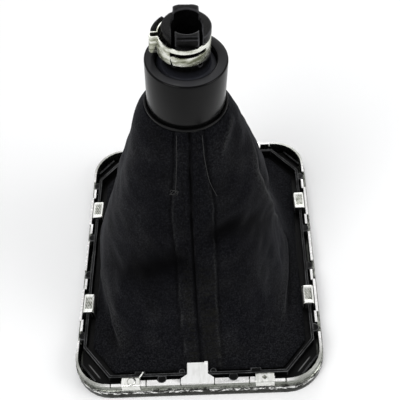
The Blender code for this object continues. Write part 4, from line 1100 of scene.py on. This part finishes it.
def clip_piece(node, turn, size, mark, material):
    """A spring clip bent from sheet, with its dimple and its worn patch."""
    width, reach = size
    low, high = (Vector(c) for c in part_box(node))
    middle, top = (low + high) / 2, high.z
    rows = 33
    shape = bmesh.new()
    wear = shape.verts.layers.float.new("worn")
    grid = []
    for x, z in clip_path(reach):
        line = []
        for j in range(rows):
            y = width * (j / (rows - 1) - 0.5)
            on_top = z > -0.6 * CLIP_SHEET
            rise, tone = clip_mark(x, y, mark, reach, width) if on_top else (0.0, 0.0)
            corner = shape.verts.new((x * MM, y * MM, top + (z + rise) * MM))
            corner[wear] = tone
            line.append(corner)
        grid.append(line)
    for first, second in zip(grid, grid[1:]):
        for j in range(rows - 1):
            shape.faces.new((first[j], first[j + 1], second[j + 1], second[j]))
    if mark == "boss":
        bent_sliver(shape, top)
    bmesh.ops.recalc_face_normals(shape, faces=shape.faces)
    if sum(f.normal.z for f in shape.faces) < 0:
        bmesh.ops.reverse_faces(shape, faces=shape.faces)
    shape.transform(Matrix.Translation((middle.x, middle.y, 0)) @ Matrix.Rotation(turn, 4, "Z"))
    piece = show(node + "_dressed", mesh_of(node, shape, 50.0))
    thicken(piece, CLIP_SHEET * MM, 0.0)
    keep(piece, material, "spring_steel", node)


def bent_sliver(shape, top):
    """A sliver of the clip's sheet that is torn loose and bent up behind it."""
    rows = []
    start_x, start_y, start_z = SLIVER_START
    for i in range(7):
        t = i / 6
        x, y = start_x + SLIVER_RUN[0] * t, start_y + SLIVER_RUN[1] * t
        z = top + (start_z + SLIVER_RISE * t * t) * MM
        rows.append([shape.verts.new(((x + s) * MM, (y + s) * MM, z))
                     for s in (-SLIVER_HALF_WIDTH, SLIVER_HALF_WIDTH)])
    for low, high in zip(rows, rows[1:]):
        shape.faces.new((low[0], low[1], high[1], high[0]))


def clip_mark(x, y, mark, reach, width):
    """Height and wear of a clip's top face at a point in millimetres, for its kind of mark."""
    if mark == "boss":
        r = math.hypot(x, y + 0.4)
        return BOSS_HEIGHT * (1 - float(step(r, 1.5, 2.1))), 0.80 * float(bell(r - 2.1, 0.3))
    if mark == "diamond":
        r = abs(x) * 1.1 + abs(y - 0.2)
        return -DIAMOND_DEPTH * (1 - float(step(r, 1.1, 1.6))), 1.0 - float(step(r, 1.3, 1.7))
    r = max(abs(x) / (reach * 0.34), abs(y) / (width * 0.36))
    dish = 1 - float(step(r, 0.75, 1.15))
    lip = float(bell(r - 1.2, 0.18))
    return 0.10 * lip - DISH_DEPTH * dish, dish * (0.75 + 0.25 * math.sin(x * 5 + y * 3))


# Scene

def camera():
    """The camera at the photograph's angle."""
    az, el, roll = (math.radians(a) for a in (CAMERA_AZIMUTH, CAMERA_ELEVATION, CAMERA_ROLL))
    back = Vector((math.sin(az) * math.cos(el), -math.cos(az) * math.cos(el), math.sin(el)))
    right = Vector((math.cos(az), math.sin(az), 0.0))
    up = back.cross(right)
    turned_right = right * math.cos(roll) + up * math.sin(roll)
    turned_up = up * math.cos(roll) - right * math.sin(roll)
    data = bpy.data.cameras.new("camera")
    data.lens = CAMERA_LENS
    data.sensor_width = 36.0
    data.clip_start = 0.01
    made = show("camera", data)
    made.matrix_world = Matrix((turned_right, turned_up, back)).transposed().to_4x4()
    made.matrix_world.translation = Vector(CAMERA_AIM) + back * CAMERA_DISTANCE
    bpy.context.scene.camera = made


def lamp(name, place, size, power):
    """A soft square lamp that looks at the object."""
    data = bpy.data.lights.new(name, "AREA")
    data.shape = "SQUARE"
    data.size = size
    data.energy = power
    made = show(name, data)
    made.location = place
    way = Vector(LAMP_AIM) - Vector(place)
    made.rotation_euler = way.to_track_quat("-Z", "Y").to_euler()


def world_light():
    """A world that is white to the lens, a fill to the object, and dimmer in front to metal."""
    world = bpy.data.worlds.new("studio")
    bpy.context.scene.world = world
    world.use_nodes = True
    world.node_tree.nodes.clear()
    sky = Nodes(world.node_tree)
    way = sky.add("ShaderNodeTexCoord").outputs["Generated"]
    depth = sky.add("ShaderNodeSeparateXYZ", Vector=way).outputs["Y"]
    room_strength = sky.levels(depth, *ROOM_STRENGTH, *ROOM_DEPTH)
    seen, fill, room = (
        sky.add("ShaderNodeBackground", Color=colour, Strength=strength).outputs[0]
        for colour, strength in (((1.0, 1.0, 1.0, 1.0), 1.0),
                                 ((0.985, 0.99, 1.0, 1.0), FILL_STRENGTH),
                                 ((0.99, 0.99, 1.0, 1.0), room_strength)))
    path = sky.add("ShaderNodeLightPath").outputs
    lens = sky.sums("MAXIMUM", path["Is Camera Ray"], path["Is Transmission Ray"])
    lit = sky.blend(path["Is Glossy Ray"], fill, room)
    sky.add("ShaderNodeOutputWorld", Surface=sky.blend(lens, lit, seen))


def lay_floor():
    """A pale floor that keeps the object's shadow and is white to the lens."""
    bpy.ops.mesh.primitive_plane_add(size=6.0, location=(0.0, 0.0, -0.0002))
    floor = bpy.context.object
    floor.name = "floor"
    paper = Finish("paper", Roughness=0.9, Specular_IOR_Level=0.1)
    seen = paper.add("ShaderNodeLightPath").outputs["Is Camera Ray"]
    paper.colour(paper.mix(seen, (0.96, 0.96, 0.96, 1.0), (1.0, 1.0, 1.0, 1.0)))
    floor.data.materials.append(paper.material)


def studio():
    """The world's light, the floor and the lamps."""
    world_light()
    lay_floor()
    for row in LAMPS:
        lamp(*row)


# The object

def clamp_piece(steel):
    """The ear clamp, with the slanted slit and lifted corner that its lower band shows."""
    piece = dressed("ear_clamp", steel, "spring_steel", 0.10)
    for corner in piece.data.vertices:
        place = KNOB_BACK @ corner.co
        turn = math.degrees(math.atan2(place.y, place.x))
        radius = math.hypot(place.x, place.y)
        low = place.z < LOWER_BAND_TOP * MM
        right = SLIT_RIGHT[0] < turn < SLIT_RIGHT[1]
        if low and SLIT_LEFT[0] < turn < SLIT_LEFT[1]:
            turn += SLIT_LEFT_MOVE
        elif low and right:
            turn += SLIT_RIGHT_MOVE
        elif right and abs(place.z - LIFTED_CORNER * MM) < 0.3 * MM:
            radius += LIFT * MM
            turn += LIFT_MOVE
        else:
            continue
        turn = math.radians(turn)
        corner.co = on_knob((radius * math.cos(turn), radius * math.sin(turn), place.z))


def knob_pieces(satin, core, steel, leather, plating, gloss):
    """The collar, ring, core, clamp and head on their leaning axis."""
    keep(turned("collar_sleeve", COLLAR_PROFILE, 0.8), satin, "satin_plastic", "collar")
    keep(turned("neck_band", BAND_PROFILE, 0.35), satin, "satin_plastic", "neck_ring")
    moulded("knob_core", core, "satin_plastic")
    clamp_piece(steel)
    keep(turned("grip", GRIP_PROFILE, 3.0), leather, "head_leather", "knob_head")
    keep(turned("grip_trim", TRIM_PROFILE, 0.6), plating, "bright_plating", "head_trim_ring")
    keep(turned("grip_cap", CAP_PROFILE, 0.8), gloss, "gloss_cap", "head_cap")


def clip_pieces(steel):
    """The eight spring clips and the front latch."""
    for side, turn in (("left", 0.0), ("right", math.pi)):
        for place in ("front", "rear"):
            clip_piece(f"clip_{side}_{place}", turn, SIDE_CLIP, "patch", steel)
    for end, turn in (("front", math.pi / 2), ("rear", -math.pi / 2)):
        for side, mark in (("left", "boss"), ("right", "diamond")):
            clip_piece(f"clip_{end}_{side}", turn, END_CLIP, mark, steel)
    dressed("latch_front", tongue_steel(), "spring_steel", 0.10)


def dress():
    """Every piece with its finish."""
    plating, steel = bright_plating(), spring_steel()
    bezel_piece(plating)
    dressed("carrier_frame", carrier_plastic(), "carrier_plastic", 0.15)
    satin, core = satin_plastic(), core_plastic()
    knob_pieces(satin, core, clamp_steel(), grained_leather(), plating, gloss_black())
    clip_pieces(steel)
    cloth = gaiter_piece(gaiter_fleece())
    sew_seam(cloth, sewing_thread("seam_thread", 0.002, 0.005))
    tails = sewing_thread("tail_thread", 0.024, 0.055)
    for name, line, lift in (("thread_left", LEFT_THREAD + tangle(LEFT_THREAD[-1]), 0.30),
                             ("thread_right", RIGHT_THREAD, 0.40)):
        keep(thread_line(name, line, cloth, lift), tails, "gaiter_lining")


camera()
studio()
dress()
bpy.context.scene.view_settings.view_transform = "Standard"
